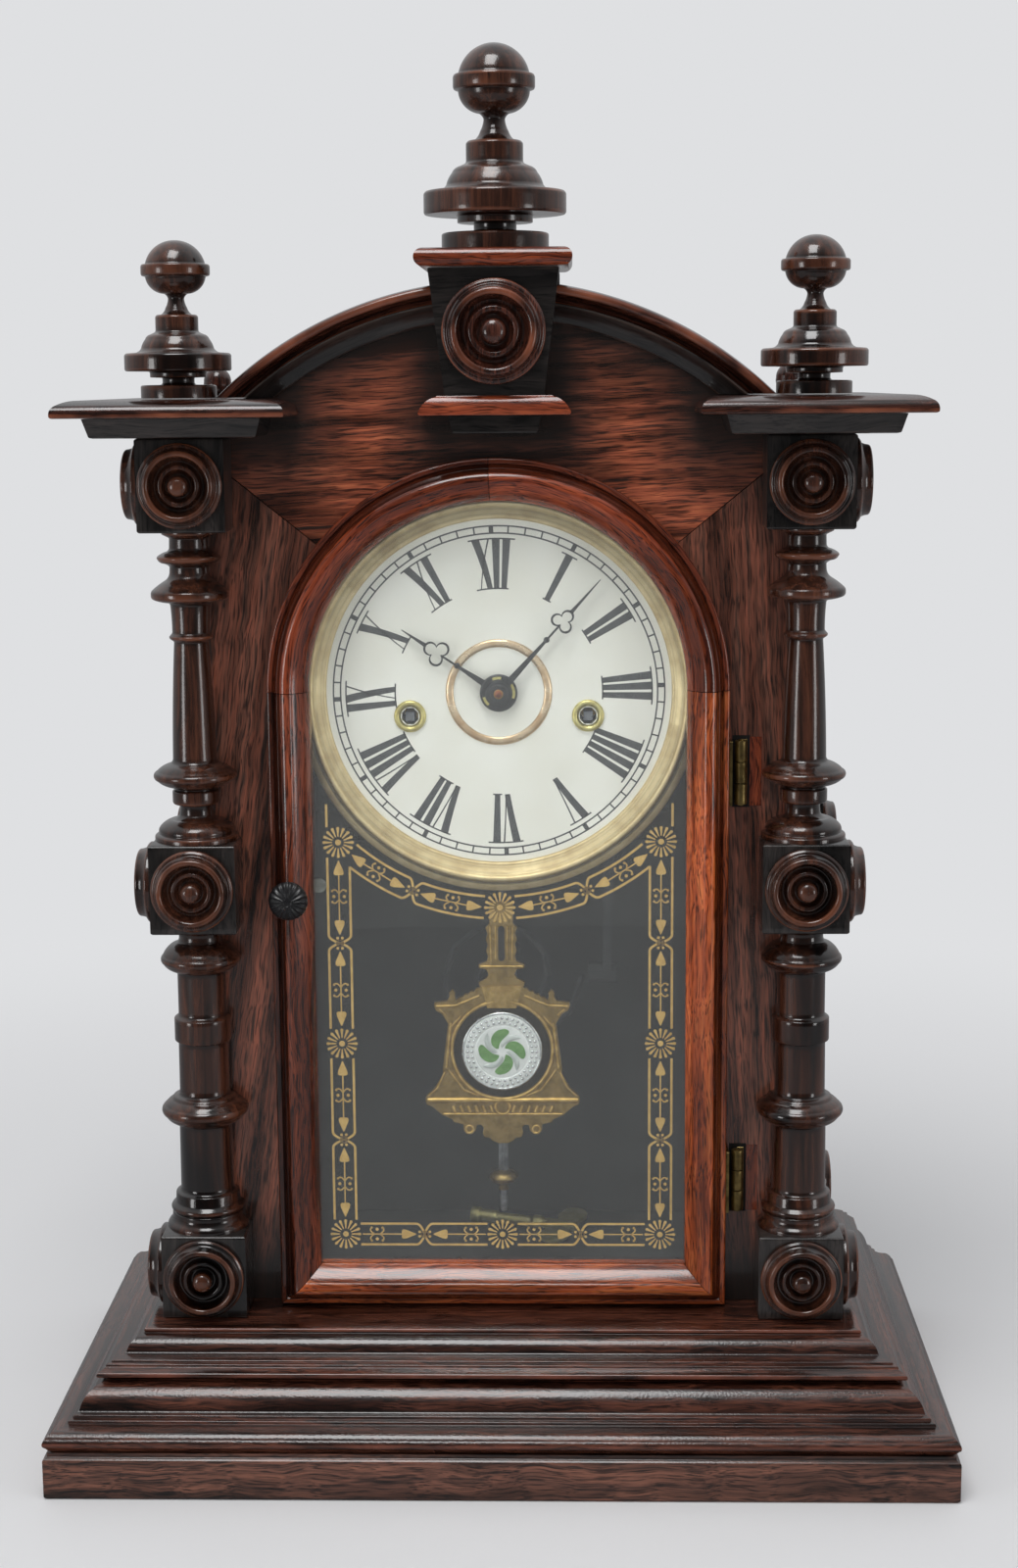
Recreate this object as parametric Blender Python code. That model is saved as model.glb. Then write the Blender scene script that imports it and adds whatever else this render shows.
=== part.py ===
"""Shelf clock with turned corner columns, an arched roof with a keystone, and a glazed arched door.

Metres, +Z up. The clock stands on Z = 0, its front faces -Y and X = 0 is its middle.
Every length below is a real size of the clock. Pieces that fit together share these values.
"""
import math

import bmesh
import bpy
from mathutils import Matrix, Vector

# Clearances
GAP = 0.0003            # between two pieces that touch
RUN = 0.0004            # around a shaft in its hole
SINK = 0.0012           # how far a turned boss goes into the wood that carries it
WELD = 0.000001         # points closer than this are one point
HAIR = 0.00001          # keeps joined faces out of one plane
CLEAR = 1.0             # a cutter's reach past the clock

# Base
PLINTH_WIDTH = 0.300
PLINTH_DEPTH = 0.165
PLINTH_HEIGHT = 0.0157
LOWER_MOULDING_HEIGHT = 0.0152
UPPER_MOULDING_HEIGHT = 0.0124
TOP_BOARD_HEIGHT = 0.0030
LOWER_MOULDING_STEP = 0.0180    # how far the lower moulding comes in over its height
UPPER_MOULDING_STEP = 0.0112
TOP_BOARD_STEP = 0.0015

# Case
CASE_MARGIN = 0.0227            # from the door's edge to the case's side
CASE_HEIGHT = 0.297             # from the base to the underside of the cornices
FRONT_SETBACK = 0.0555          # from the plinth's front to the front board's face
FRONT_BOARD = 0.0075
SIDE_BOARD = 0.0080
BACK_BOARD = 0.0060
CASE_DEPTH = 0.0953             # front board's face to back board's rear
SIDE_TOP_RAIL = 0.0100
RAIL_DEPTH = 0.0100             # the upright rails behind the front board
RAIL_HEIGHT = 0.118
RAIL_OVERLAP = 0.0059           # behind the front board, beside the doorway
RAIL_SEAT = 0.0015              # under the dial's edge

# Roof, cornices and keystone
ROOF_RISE = 0.0367              # of the roof's crown over its feet
ROOF_INSET = 0.0085             # of the roof's feet from the case's sides
ROOF_BOARD = 0.0060
ROOF_OVERHANG = 0.0090
ROOF_SPARE = 8                  # degrees bent past the cornices before the ends are cut level
COVE_DEPTH = 0.0063
CORNICE_HEIGHT = 0.0120
CORNICE_WIDTH = 0.0734
CORNICE_COVE = 0.0092
CORNICE_REAR_OVERHANG = 0.0040
REAR_BALL = 0.0052
REAR_BALL_STEM = 0.0022
KEYSTONE_TOP_WIDTH = 0.0416
KEYSTONE_FOOT_WIDTH = 0.0318
KEYSTONE_PROUD = 0.0160
KEYSTONE_RISE = 0.0034          # of the keystone over the roof
KEYSTONE_DEPTH = 0.0480
KEYSTONE_SILL_WIDTH = 0.0480
KEYSTONE_SILL_HEIGHT = 0.0054
KEYSTONE_SILL_PROUD = 0.0040
KEYSTONE_DROP = 0.0066
KEYSTONE_CAP_HEIGHT = 0.0058
KEYSTONE_CAP_OVERHANG = 0.0042

# Columns and turned ornaments
COLUMN_BLOCK = 0.0286
COLUMN_OUT = 0.0020             # from the case's side to the column's axis
COLUMN_FORWARD = 0.0037         # from the front board's face to the column's axis
REAR_COLUMN_SPACING = 0.0855
BASE_BLOCK_HEIGHT = 0.0290
MID_BLOCK_HEIGHT = 0.0300
MID_BLOCK_CENTRE = 0.1490       # above the base
TOP_BLOCK_HEIGHT = 0.0302
COLUMN_RING = 0.0137
COLUMN_NECK = 0.0056
COLUMN_SHAFT_TOP = 0.0058
COLUMN_SHAFT_FOOT = 0.0075
COLUMN_LOWER_SHAFT = 0.0088
ROSETTE_RADIUS = 0.0137
ROSETTE_HEIGHT = 0.0066
KEYSTONE_ROSETTE_RADIUS = 0.0166
CENTRE_FINIAL_HEIGHT = 0.0650
CENTRE_FINIAL_DISC = 0.0231
CENTRE_FINIAL_BALL = 0.0117
CENTRE_FINIAL_FOOT = 0.0174
SIDE_FINIAL_HEIGHT = 0.0500
SIDE_FINIAL_DISC = 0.0172
SIDE_FINIAL_BALL = 0.0097
SIDE_FINIAL_FOOT = 0.0122
SIDE_FINIAL_OUT = 0.0016        # from the column's axis to the finial's axis

# Door
DOOR_WIDTH = 0.1526
DOOR_HEADROOM = 0.0080          # between the door's crown and the keystone's drop
DOOR_MEMBER = 0.0141
DOOR_EDGE = 0.0072
DOOR_CROWN = 0.0112
DOOR_REBATE = 0.0024
DOOR_FOOT_GAP = 0.0010
DOOR_LAP = 0.0022               # of the door over the front board
GLASS_THICKNESS = 0.0020
GLASS_SETBACK = 0.0038          # of the glass in front of the door's back
KNOB_DROP = 0.0073              # of the knob's axis below the rail behind the front board
KNOB_RADIUS = 0.0066
KNOB_LENGTH = 0.0078
KNOB_FLUTES = 7
SPINDLE_RADIUS = 0.0014
LATCH_LENGTH = 0.0092
LATCH_WIDTH = 0.0030
LATCH_THICKNESS = 0.0012
HINGE_LENGTH = 0.0216
HINGE_BARREL = 0.0021
HINGE_PIN = 0.0008
HINGE_LEAF = 0.0010
HINGE_LEAF_WIDTH = 0.0068
HINGE_OUT = 0.0040              # from the door's edge to the pin
HINGE_FORWARD = 0.0025          # from the front board's face to the pin
UPPER_HINGE_DROP = 0.0275       # below the centre of the door's arch
LOWER_HINGE_RISE = 0.0445       # above the base

# Dial and hands
DIAL_DROP = 0.0015              # below the centre of the door's arch
DIAL_MARGIN = 0.0099            # between the dial's edge and the doorway
DIAL_THICKNESS = 0.0008
DIAL_EAR = 0.0065
DIAL_EAR_HEIGHT = 0.0120
BEZEL_WIDTH = 0.0070
BEZEL_MARGIN = 0.0006           # of the dial's edge outside the bezel
BEZEL_HEIGHT = 0.0048
CENTRE_RING_INNER = 0.0150
CENTRE_RING_OUTER = 0.0177
CENTRE_RING_HEIGHT = 0.0003
WINDING_SPACING = 0.0596
WINDING_DROP = 0.0080
GROMMET_OUTER = 0.0054
GROMMET_HOLE = 0.0030
GROMMET_HEIGHT = 0.0009
MINUTE_HAND_LENGTH = 0.0505
HOUR_HAND_LENGTH = 0.0358
MINUTE_HAND_ANGLE = math.radians(42.0)
HOUR_HAND_ANGLE = math.radians(303.5)
HAND_THICKNESS = 0.0006
HAND_BOSS = 0.0048
HAND_LOBE = 0.0019              # outer radius of each ring of the trefoil
HAND_EYE = 0.0010               # its hole
HAND_STEM = 0.0008              # half the stem's width at the boss
HAND_NECK = 0.0005              # and at the trefoil
HAND_TIP = 0.0002
HAND_TREFOIL_SHARE = 0.62       # where the trefoil sits along the hand
HAND_NUT_RADIUS = 0.0058
HAND_NUT_HEIGHT = 0.0013

# Movement
PLATE_WIDTH = 0.0960
PLATE_RISE = 0.0455             # of the plates above the centre arbor
PLATE_FALL = 0.0525
PLATE_THICKNESS = 0.0016
PLATE_SPACING = 0.0206
PLATE_EAR_HEIGHT = 0.0100
PILLAR_RADIUS = 0.0026
PILLAR_INSET = 0.0060
CENTRE_ARBOR = 0.0016
WINDING_ARBOR = 0.0022
PIVOT_RADIUS = 0.0010
MAIN_WHEEL = 0.0200
MAIN_WHEEL_TEETH = 20
WHEEL_THICKNESS = 0.0016
SPRING_TURNS = 3
SPRING_OUTER = 0.0176
SPRING_STRIP = 0.0008
SPRING_WIDTH = 0.0110
MOTION_DISTANCE = 0.0120        # from the centre arbor to the minute wheel's stud
CANNON_TEETH = 8
MINUTE_WHEEL_TEETH = 24
MINUTE_PINION_TEETH = 6
HOUR_WHEEL_TEETH = 24
MOTION_WHEEL = 0.0014
HOUR_PIPE = 0.0032
ESCAPE_RADIUS = 0.0110
ESCAPE_TEETH = 18
ESCAPE_DROP = 0.0365            # below the centre arbor
VERGE_DROP = 0.0185
CRUTCH_LENGTH = 0.0170
COCK_RISE = 0.0046              # from the verge's axis to the cock's underside
COCK_WIDTH = 0.0052
COCK_HEIGHT = 0.0028
HAMMER_OUT = 0.0380
HAMMER_DROP = 0.0405
HAMMER_STRIKE_RISE = 0.0020     # of the hammer's head above the gong's middle
HAMMER_ARM_THICKNESS = 0.0014
HAMMER_ARM_WIDTH = 0.0030
HAMMER_HEAD = 0.0035
HAMMER_HEAD_LENGTH = 0.0100
HAMMER_REST_GAP = 0.0008

# Pendulum, gong and key
ROD_RADIUS = 0.0008
SUSPENSION_WIDTH = 0.0030
SUSPENSION_THICKNESS = 0.0004
PENDULUM_FORWARD = 0.0040       # from the front plate to the rod's axis
ROD_FOOT_RISE = 0.0275          # this and the next rises are above the case floor
BOB_GLASS_RISE = 0.0866
BOB_GLASS_RADIUS = 0.0139
BOB_GLASS_HEIGHT = 0.0024
BOB_WIDTH = 0.0534
BOB_TOP_RISE = 0.1390
BOB_FOOT_RISE = 0.0530
BOB_THICKNESS = 0.0020
SLEEVE_RADIUS = 0.0021
NUT_RISE = 0.0400
NUT_RADIUS = 0.0036
NUT_HEIGHT = 0.0040
GONG_RADIUS = 0.0280
GONG_TURNS = 2
GONG_WIRE = 0.0012
GONG_POST = 0.0050
GONG_CENTRE = 0.1030            # above the base
GONG_BEHIND = 0.0080            # the gong's plane behind the back plate
KEY_SHAFT = 0.0032
KEY_SHAFT_LENGTH = 0.0290
KEY_WING_SPAN = 0.0300
KEY_WING_LENGTH = 0.0130
KEY_WING_THICKNESS = 0.0022
KEY_FROM_BACK = 0.0180

# Facet counts
COLUMN_SIDES = 10
REAR_COLUMN_SIDES = 8
ROSETTE_SIDES = 10
SIDE_ROSETTE_SIDES = 8
KEYSTONE_ROSETTE_SIDES = 12
FINIAL_SIDES = 10
ARCH_STEPS = 14
ROUND_SIDES = 8
RING_SIDES = 28
SMALL_RING_SIDES = 16
LOBE_SIDES = 6
SMALL_SIDES = 6
SPRING_STEPS = 8
GONG_STEPS = 12
WIRE_SIDES = 4
COVE_STEPS = 10
BOSS_SIDES = 12

# Places worked out from the sizes
FLOOR = PLINTH_HEIGHT + LOWER_MOULDING_HEIGHT + UPPER_MOULDING_HEIGHT + TOP_BOARD_HEIGHT + 3 * GAP
STAND = FLOOR + GAP             # where pieces stand on the base
PLINTH_FRONT = -PLINTH_DEPTH / 2
PLINTH_REAR = PLINTH_DEPTH / 2
BOARD_FRONT = PLINTH_FRONT + FRONT_SETBACK
BOARD_BACK = BOARD_FRONT + FRONT_BOARD
CASE_BACK = BOARD_FRONT + CASE_DEPTH
BACK_BOARD_FRONT = CASE_BACK - BACK_BOARD
DOOR_HALF = DOOR_WIDTH / 2
CASE_HALF = DOOR_HALF + CASE_MARGIN
CORNICE_BOTTOM = FLOOR + CASE_HEIGHT
CORNICE_TOP = CORNICE_BOTTOM + CORNICE_HEIGHT
ROOF_FOOT = CORNICE_TOP + GAP
ROOF_RADIUS = ((CASE_HALF - ROOF_INSET) ** 2 + ROOF_RISE ** 2) / (2 * ROOF_RISE)
ROOF_Z = ROOF_FOOT + ROOF_RISE - ROOF_RADIUS
ROOF_INNER = ROOF_RADIUS - ROOF_BOARD
ROOF_FRONT = BOARD_FRONT - ROOF_OVERHANG
BOARD_ARCH = ROOF_INNER - GAP
COVE_INNER = BOARD_ARCH - COVE_DEPTH
COLUMN_X = CASE_HALF + COLUMN_OUT
COLUMN_Y = BOARD_FRONT - COLUMN_FORWARD
REAR_COLUMN_Y = COLUMN_Y + REAR_COLUMN_SPACING
SIDE_FINIAL_X = COLUMN_X + SIDE_FINIAL_OUT
DOOR_BACK = BOARD_FRONT - GAP
DOOR_FOOT = FLOOR + DOOR_FOOT_GAP
KEYSTONE_FOOT = CORNICE_TOP + 2 * GAP
KEYSTONE_TOP = ROOF_Z + ROOF_RADIUS + KEYSTONE_RISE
DOOR_CROWN_Z = KEYSTONE_FOOT - KEYSTONE_SILL_HEIGHT - KEYSTONE_DROP - DOOR_HEADROOM
DOOR_Z = DOOR_CROWN_Z - GAP - DOOR_HALF
OPENING_HALF = DOOR_HALF - DOOR_LAP
OPENING_FOOT = DOOR_FOOT + DOOR_MEMBER - DOOR_LAP
GLASS_HALF = DOOR_HALF - DOOR_MEMBER + DOOR_REBATE - GAP
GLASS_BACK = DOOR_BACK - GLASS_SETBACK + GLASS_THICKNESS
HINGE_X = DOOR_HALF + HINGE_OUT
HINGE_Y = BOARD_FRONT - HINGE_FORWARD
DIAL_Z = DOOR_Z - DIAL_DROP
DIAL_RADIUS = OPENING_HALF - DIAL_MARGIN
BEZEL_OUTER = DIAL_RADIUS - BEZEL_MARGIN
BEZEL_INNER = BEZEL_OUTER - BEZEL_WIDTH
DIAL_BACK = BOARD_BACK
DIAL_FRONT = DIAL_BACK - DIAL_THICKNESS
RAIL_BACK = BOARD_BACK + GAP + RAIL_DEPTH
FRONT_PLATE_FRONT = RAIL_BACK + GAP
FRONT_PLATE_BACK = FRONT_PLATE_FRONT + PLATE_THICKNESS
BACK_PLATE_FRONT = FRONT_PLATE_BACK + PLATE_SPACING
BACK_PLATE_BACK = BACK_PLATE_FRONT + PLATE_THICKNESS
WINDING_X = WINDING_SPACING / 2
WINDING_Z = DIAL_Z - WINDING_DROP
RAIL_FOOT = DIAL_Z - RAIL_HEIGHT / 2
RAIL_INNER = DIAL_RADIUS - RAIL_SEAT
RAIL_OUTER = OPENING_HALF + RAIL_OVERLAP
VERGE_Z = DIAL_Z - VERGE_DROP
ESCAPE_Z = DIAL_Z - ESCAPE_DROP
HAMMER_Z = DIAL_Z - HAMMER_DROP
ROD_Y = FRONT_PLATE_FRONT - PENDULUM_FORWARD
GONG_Y = BACK_PLATE_BACK + GONG_BEHIND
GONG_Z = FLOOR + GONG_CENTRE
CANNON_MODULE = 2 * MOTION_DISTANCE / (CANNON_TEETH + MINUTE_WHEEL_TEETH)
PINION_MODULE = 2 * MOTION_DISTANCE / (MINUTE_PINION_TEETH + HOUR_WHEEL_TEETH)

FINISHES = {
    "rosewood": ((0.090, 0.020, 0.009), 0.28, 0.0),
    "ebonised_wood": ((0.020, 0.008, 0.006), 0.25, 0.0),
    "inner_wood": ((0.035, 0.028, 0.024), 0.75, 0.0),
    "red_rosewood": ((0.210, 0.040, 0.014), 0.25, 0.0),
    "brass": ((0.560, 0.410, 0.180), 0.35, 1.0),
    "dial_paint": ((0.800, 0.780, 0.710), 0.50, 0.0),
    "glass": ((0.900, 0.920, 0.910), 0.05, 0.0),
    "black_steel": ((0.015, 0.015, 0.018), 0.35, 1.0),
    "black_knob": ((0.012, 0.012, 0.012), 0.30, 0.0),
    "spring_steel": ((0.200, 0.220, 0.260), 0.30, 1.0),
    "bob_disc": ((0.600, 0.720, 0.580), 0.15, 0.0),
}


def finish(name):
    """Give the named finish as a Principled material, made once."""
    material = bpy.data.materials.get(name)
    if material:
        return material
    colour, roughness, metallic = FINISHES[name]
    material = bpy.data.materials.new(name)
    material.use_nodes = True
    shader = material.node_tree.nodes["Principled BSDF"]
    shader.inputs["Base Color"].default_value = (*colour, 1.0)
    shader.inputs["Roughness"].default_value = roughness
    shader.inputs["Metallic"].default_value = metallic
    return material


def solid(name, rings, material=None, closed=False):
    """Skin a row of equal rings of points into one closed body; the ends are capped unless it closes."""
    skin = bmesh.new()
    rows = [[skin.verts.new(point) for point in ring] for ring in rings]
    pairs = list(zip(rows, rows[1:]))
    if closed:
        pairs.append((rows[-1], rows[0]))
    for low, high in pairs:
        for here in range(len(low)):
            there = (here + 1) % len(low)
            skin.faces.new((low[here], low[there], high[there], high[here]))
    if not closed:
        for row in (rows[0], rows[-1]):
            if (row[0].co - row[len(row) // 2].co).length > WELD:
                skin.faces.new(row)
    bmesh.ops.remove_doubles(skin, verts=skin.verts, dist=WELD)
    bmesh.ops.recalc_face_normals(skin, faces=skin.faces)
    mesh = bpy.data.meshes.new(name)
    skin.to_mesh(mesh)
    skin.free()
    body = bpy.data.objects.new(name, mesh)
    bpy.context.scene.collection.objects.link(body)
    if material:
        mesh.materials.append(finish(material))
    return body


def along(axis, first, second, height):
    """Turn flat coordinates and a height along x, y or z into a point."""
    if axis == "x":
        return Vector((height, first, second))
    if axis == "y":
        return Vector((first, height, second))
    return Vector((first, second, height))


def prism(name, outline, axis, start, stop, material=None):
    """Extrude a closed outline along an axis."""
    rings = [[along(axis, first, second, height) for first, second in outline] for height in (start, stop)]
    return solid(name, rings, material)


def box(name, x_range, y_range, z_range, material=None):
    """A plain block between two corners."""
    left, right = x_range
    front, rear = y_range
    outline = [(left, front), (right, front), (right, rear), (left, rear)]
    return prism(name, outline, "z", *z_range, material)


def turned(name, profile, axis, centre, sides, material=None, hollow=False):
    """Revolve a profile of (radius, height) about an axis through a centre; a hollow one closes on itself."""
    angles = [2 * math.pi * (step + 0.5) / sides for step in range(sides)]
    centre = Vector(centre)
    rings = []
    for radius, height in profile:
        circle = [along(axis, radius * math.cos(angle), radius * math.sin(angle), height) for angle in angles]
        rings.append([centre + point for point in circle])
    return solid(name, rings, material, closed=hollow)


def cos(angle):
    """Cosine of an angle in degrees."""
    return math.cos(math.radians(angle))


def sin(angle):
    """Sine of an angle in degrees."""
    return math.sin(math.radians(angle))


def arc(centre, radius, start, stop, steps):
    """Points on an arc, angles in degrees from the first axis towards the second."""
    angles = [start + (stop - start) * step / steps for step in range(steps + 1)]
    return [(centre[0] + radius * cos(angle), centre[1] + radius * sin(angle)) for angle in angles]


def mirrored(half):
    """Close a right-hand outline of (x, z) with its mirror image on the left."""
    return half + [(-x, z) for x, z in reversed(half)]


def carve(target, tools, operation="DIFFERENCE"):
    """Cut the tools from the target, or join them to it, and keep only the target."""
    for tool in tools:
        step = target.modifiers.new("carve", "BOOLEAN")
        step.operation = operation
        step.solver = "EXACT"
        step.object = tool
    bpy.context.view_layer.update()
    shaped = target.evaluated_get(bpy.context.evaluated_depsgraph_get())
    mesh = bpy.data.meshes.new_from_object(shaped)
    target.modifiers.clear()
    target.data = mesh
    for tool in tools:
        bpy.data.objects.remove(tool)
    return target


def join(target, *tools):
    """Join tools to the target."""
    return carve(target, tools, "UNION")


def set_origin(body, point):
    """Put the object's origin on its joint axis and leave its shape where it is."""
    body.data.transform(Matrix.Translation(-Vector(point)))
    body.location = point
    return body


def stepped_slab(name, profile, x_range, y_range, flush, material):
    """Carry a moulding profile of (inset, height) round a rectangle; flush sides keep their edge."""
    rings = []
    for inset, height in profile:
        left = x_range[0] + (0 if "left" in flush else inset)
        right = x_range[1] - (0 if "right" in flush else inset)
        front = y_range[0] + (0 if "front" in flush else inset)
        rear = y_range[1] - (0 if "rear" in flush else inset)
        corners = ((left, front), (right, front), (right, rear), (left, rear))
        rings.append([(x, y, height) for x, y in corners])
    return solid(name, rings, material)


def build_base():
    """Plinth, two moulded tiers and the board that the case stands on."""
    half = PLINTH_WIDTH / 2
    y_range = (PLINTH_FRONT, PLINTH_REAR)
    box("base_plinth", (-half, half), y_range, (0, PLINTH_HEIGHT), "rosewood")
    bottom = PLINTH_HEIGHT + GAP
    height = LOWER_MOULDING_HEIGHT
    step = LOWER_MOULDING_STEP
    torus = [(0.10 * step * (1 - cos(a)), (0.2 + 0.2 * sin(a)) * height) for a in (-90, -50, 0, 50, 90)]
    fillets = [(0.30 * step, 0.42 * height), (0.30 * step, 0.48 * height), (0.42 * step, 0.50 * height)]
    ogee = [(step * (0.42 + 0.58 * sin(a)), height * (1 - 0.46 * cos(a))) for a in (8, 30, 50, 70, 90)]
    profile = [(inset, bottom + rise) for inset, rise in torus + fillets + ogee]
    stepped_slab("base_lower_moulding", profile, (-half, half), y_range, "rear", "rosewood")
    bottom += height + GAP
    height = UPPER_MOULDING_HEIGHT
    inner = half - step
    inner_range = (PLINTH_FRONT + step, PLINTH_REAR)
    step = UPPER_MOULDING_STEP
    bead = [(0.12 * step, 0), (0.12 * step, 0.12 * height), (-0.14 * step, 0.20 * height),
            (-0.18 * step, 0.34 * height), (-0.06 * step, 0.44 * height), (0.18 * step, 0.47 * height),
            (0.18 * step, 0.55 * height), (0.28 * step, 0.57 * height)]
    cove = [(step * (1 - 0.72 * cos(a)), height * (0.57 + 0.43 * sin(a))) for a in (20, 45, 70, 90)]
    profile = [(inset, bottom + rise) for inset, rise in bead + cove]
    stepped_slab("base_upper_moulding", profile, (-inner, inner), inner_range, "rear", "rosewood")
    bottom += height + GAP
    inset = LOWER_MOULDING_STEP + UPPER_MOULDING_STEP + TOP_BOARD_STEP
    box("base_top_board", (-half + inset, half - inset), (PLINTH_FRONT + inset, PLINTH_REAR),
        (bottom, bottom + TOP_BOARD_HEIGHT), "rosewood")


def board_outline():
    """Outline of the front and back boards: straight sides, and an arch that carries the roof."""
    foot = math.degrees(math.asin((ROOF_FOOT - ROOF_Z) / BOARD_ARCH))
    top = arc((0, ROOF_Z), BOARD_ARCH, foot, 180 - foot, ARCH_STEPS)
    shoulder = ROOF_FOOT - 2 * GAP
    right = [(CASE_HALF, STAND), (CASE_HALF, shoulder), (top[0][0], shoulder)]
    left = [(-x, z) for x, z in reversed(right)]
    return right + top + left


def arched_outline(half, foot, centre, steps=ARCH_STEPS):
    """A doorway outline: straight sides from the foot, and a half-round head."""
    return [(-half, foot), (half, foot)] + arc((0, centre), half, 0, 180, steps)


def build_case():
    """Front board with the doorway, sides, back board, and the rails that carry dial and movement."""
    front = prism("front_board", board_outline(), "y", BOARD_FRONT, BOARD_BACK, "rosewood")
    cuts = [prism("cut", arched_outline(OPENING_HALF, OPENING_FOOT, DOOR_Z), "y", -CLEAR, CLEAR)]
    half = HINGE_LENGTH / 2 + GAP
    for centre in hinge_heights():
        cuts.append(box("cut", (HINGE_X - HINGE_BARREL, HINGE_X + HINGE_LEAF_WIDTH + GAP),
                        (-CLEAR, BOARD_FRONT + HINGE_LEAF + GAP), (centre - half, centre + half)))
    carve(front, cuts)
    prism("back_board", board_outline(), "y", BACK_BOARD_FRONT, CASE_BACK, "inner_wood")
    y_range = (BOARD_BACK + GAP, BACK_BOARD_FRONT - GAP)
    top = ROOF_FOOT - 2 * GAP
    inner = math.sqrt(ROOF_INNER ** 2 - (ROOF_FOOT - ROOF_Z) ** 2) - SINK
    wall = CASE_HALF - SIDE_BOARD
    for side, name in ((-1, "side_left"), (1, "side_right")):
        outline = [(wall, STAND), (CASE_HALF, STAND), (CASE_HALF, top), (inner, top),
                   (inner, top - SIDE_TOP_RAIL), (wall, top - SIDE_TOP_RAIL)]
        prism(name, [(side * x, z) for x, z in outline], "y", *y_range, "rosewood")
    rail_y = (BOARD_BACK + GAP, RAIL_BACK)
    rail_z = (RAIL_FOOT, RAIL_FOOT + RAIL_HEIGHT)
    box("movement_rail_left", (-RAIL_OUTER, -RAIL_INNER), rail_y, rail_z, "inner_wood")
    box("movement_rail_right", (RAIL_INNER, RAIL_OUTER), rail_y, rail_z, "inner_wood")


def roof_section(section, angles):
    """Carry a section of (radius, y) round the roof's centre through the angles given in degrees."""
    rings = []
    for angle in angles:
        rings.append([(radius * cos(angle), y, ROOF_Z + radius * sin(angle)) for radius, y in section])
    return rings


def build_roof():
    """Bent roof board with a beaded front edge, and the cove under it on both sides of the keystone."""
    bead = ROOF_BOARD / 2
    middle = (ROOF_RADIUS + ROOF_INNER) / 2
    front = [(middle + bead * cos(a), ROOF_FRONT + bead - bead * sin(a)) for a in (0, 40, 90, 140, 180)]
    section = front + [(ROOF_INNER, CASE_BACK), (ROOF_RADIUS, CASE_BACK)]
    start = math.degrees(math.asin((ROOF_FOOT - ROOF_Z) / ROOF_RADIUS)) - ROOF_SPARE
    steps = [start + (180 - 2 * start) * step / ARCH_STEPS for step in range(ARCH_STEPS + 1)]
    roof = solid("arch_roof", roof_section(section, steps), "red_rosewood")
    wide = (-CLEAR, CLEAR)
    below = box("cut", wide, wide, (-CLEAR, ROOF_FOOT))
    edge = SIDE_FINIAL_X - SIDE_FINIAL_FOOT - GAP
    beside = [box("cut", sorted((side * edge, side * CLEAR)), wide, wide) for side in (-1, 1)]
    carve(roof, [below, *beside])
    cove_front = ROOF_FRONT + ROOF_BOARD
    reach = BOARD_FRONT - GAP
    deep = reach - cove_front
    bends = (0, 30, 60, 90)
    hollow = [(BOARD_ARCH - 0.9 * COVE_DEPTH * (1 - cos(a)), cove_front + 0.7 * deep * sin(a)) for a in bends]
    section = hollow + [(COVE_INNER, reach - 0.2 * deep), (COVE_INNER, reach), (BOARD_ARCH, reach)]
    keystone_edge = keystone_half(ROOF_Z + ROOF_RADIUS) + GAP
    steps = [start + (90 - start) * step / COVE_STEPS for step in range(COVE_STEPS + 1)]
    for side, name in ((1, "arch_cove_right"), (-1, "arch_cove_left")):
        rings = roof_section(section, steps)
        cove = solid(name, [[(side * x, y, z) for x, y, z in ring] for ring in rings], "ebonised_wood")
        beside = box("cut", sorted((side * keystone_edge, -side * CLEAR)), wide, wide)
        under = box("cut", wide, wide, (-CLEAR, ROOF_FOOT))
        carve(cove, [beside, under])


def keystone_half(height):
    """Half the keystone's width at a height: its sides taper evenly."""
    share = (height - KEYSTONE_FOOT) / (KEYSTONE_TOP - KEYSTONE_FOOT)
    return (KEYSTONE_FOOT_WIDTH + share * (KEYSTONE_TOP_WIDTH - KEYSTONE_FOOT_WIDTH)) / 2


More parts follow.
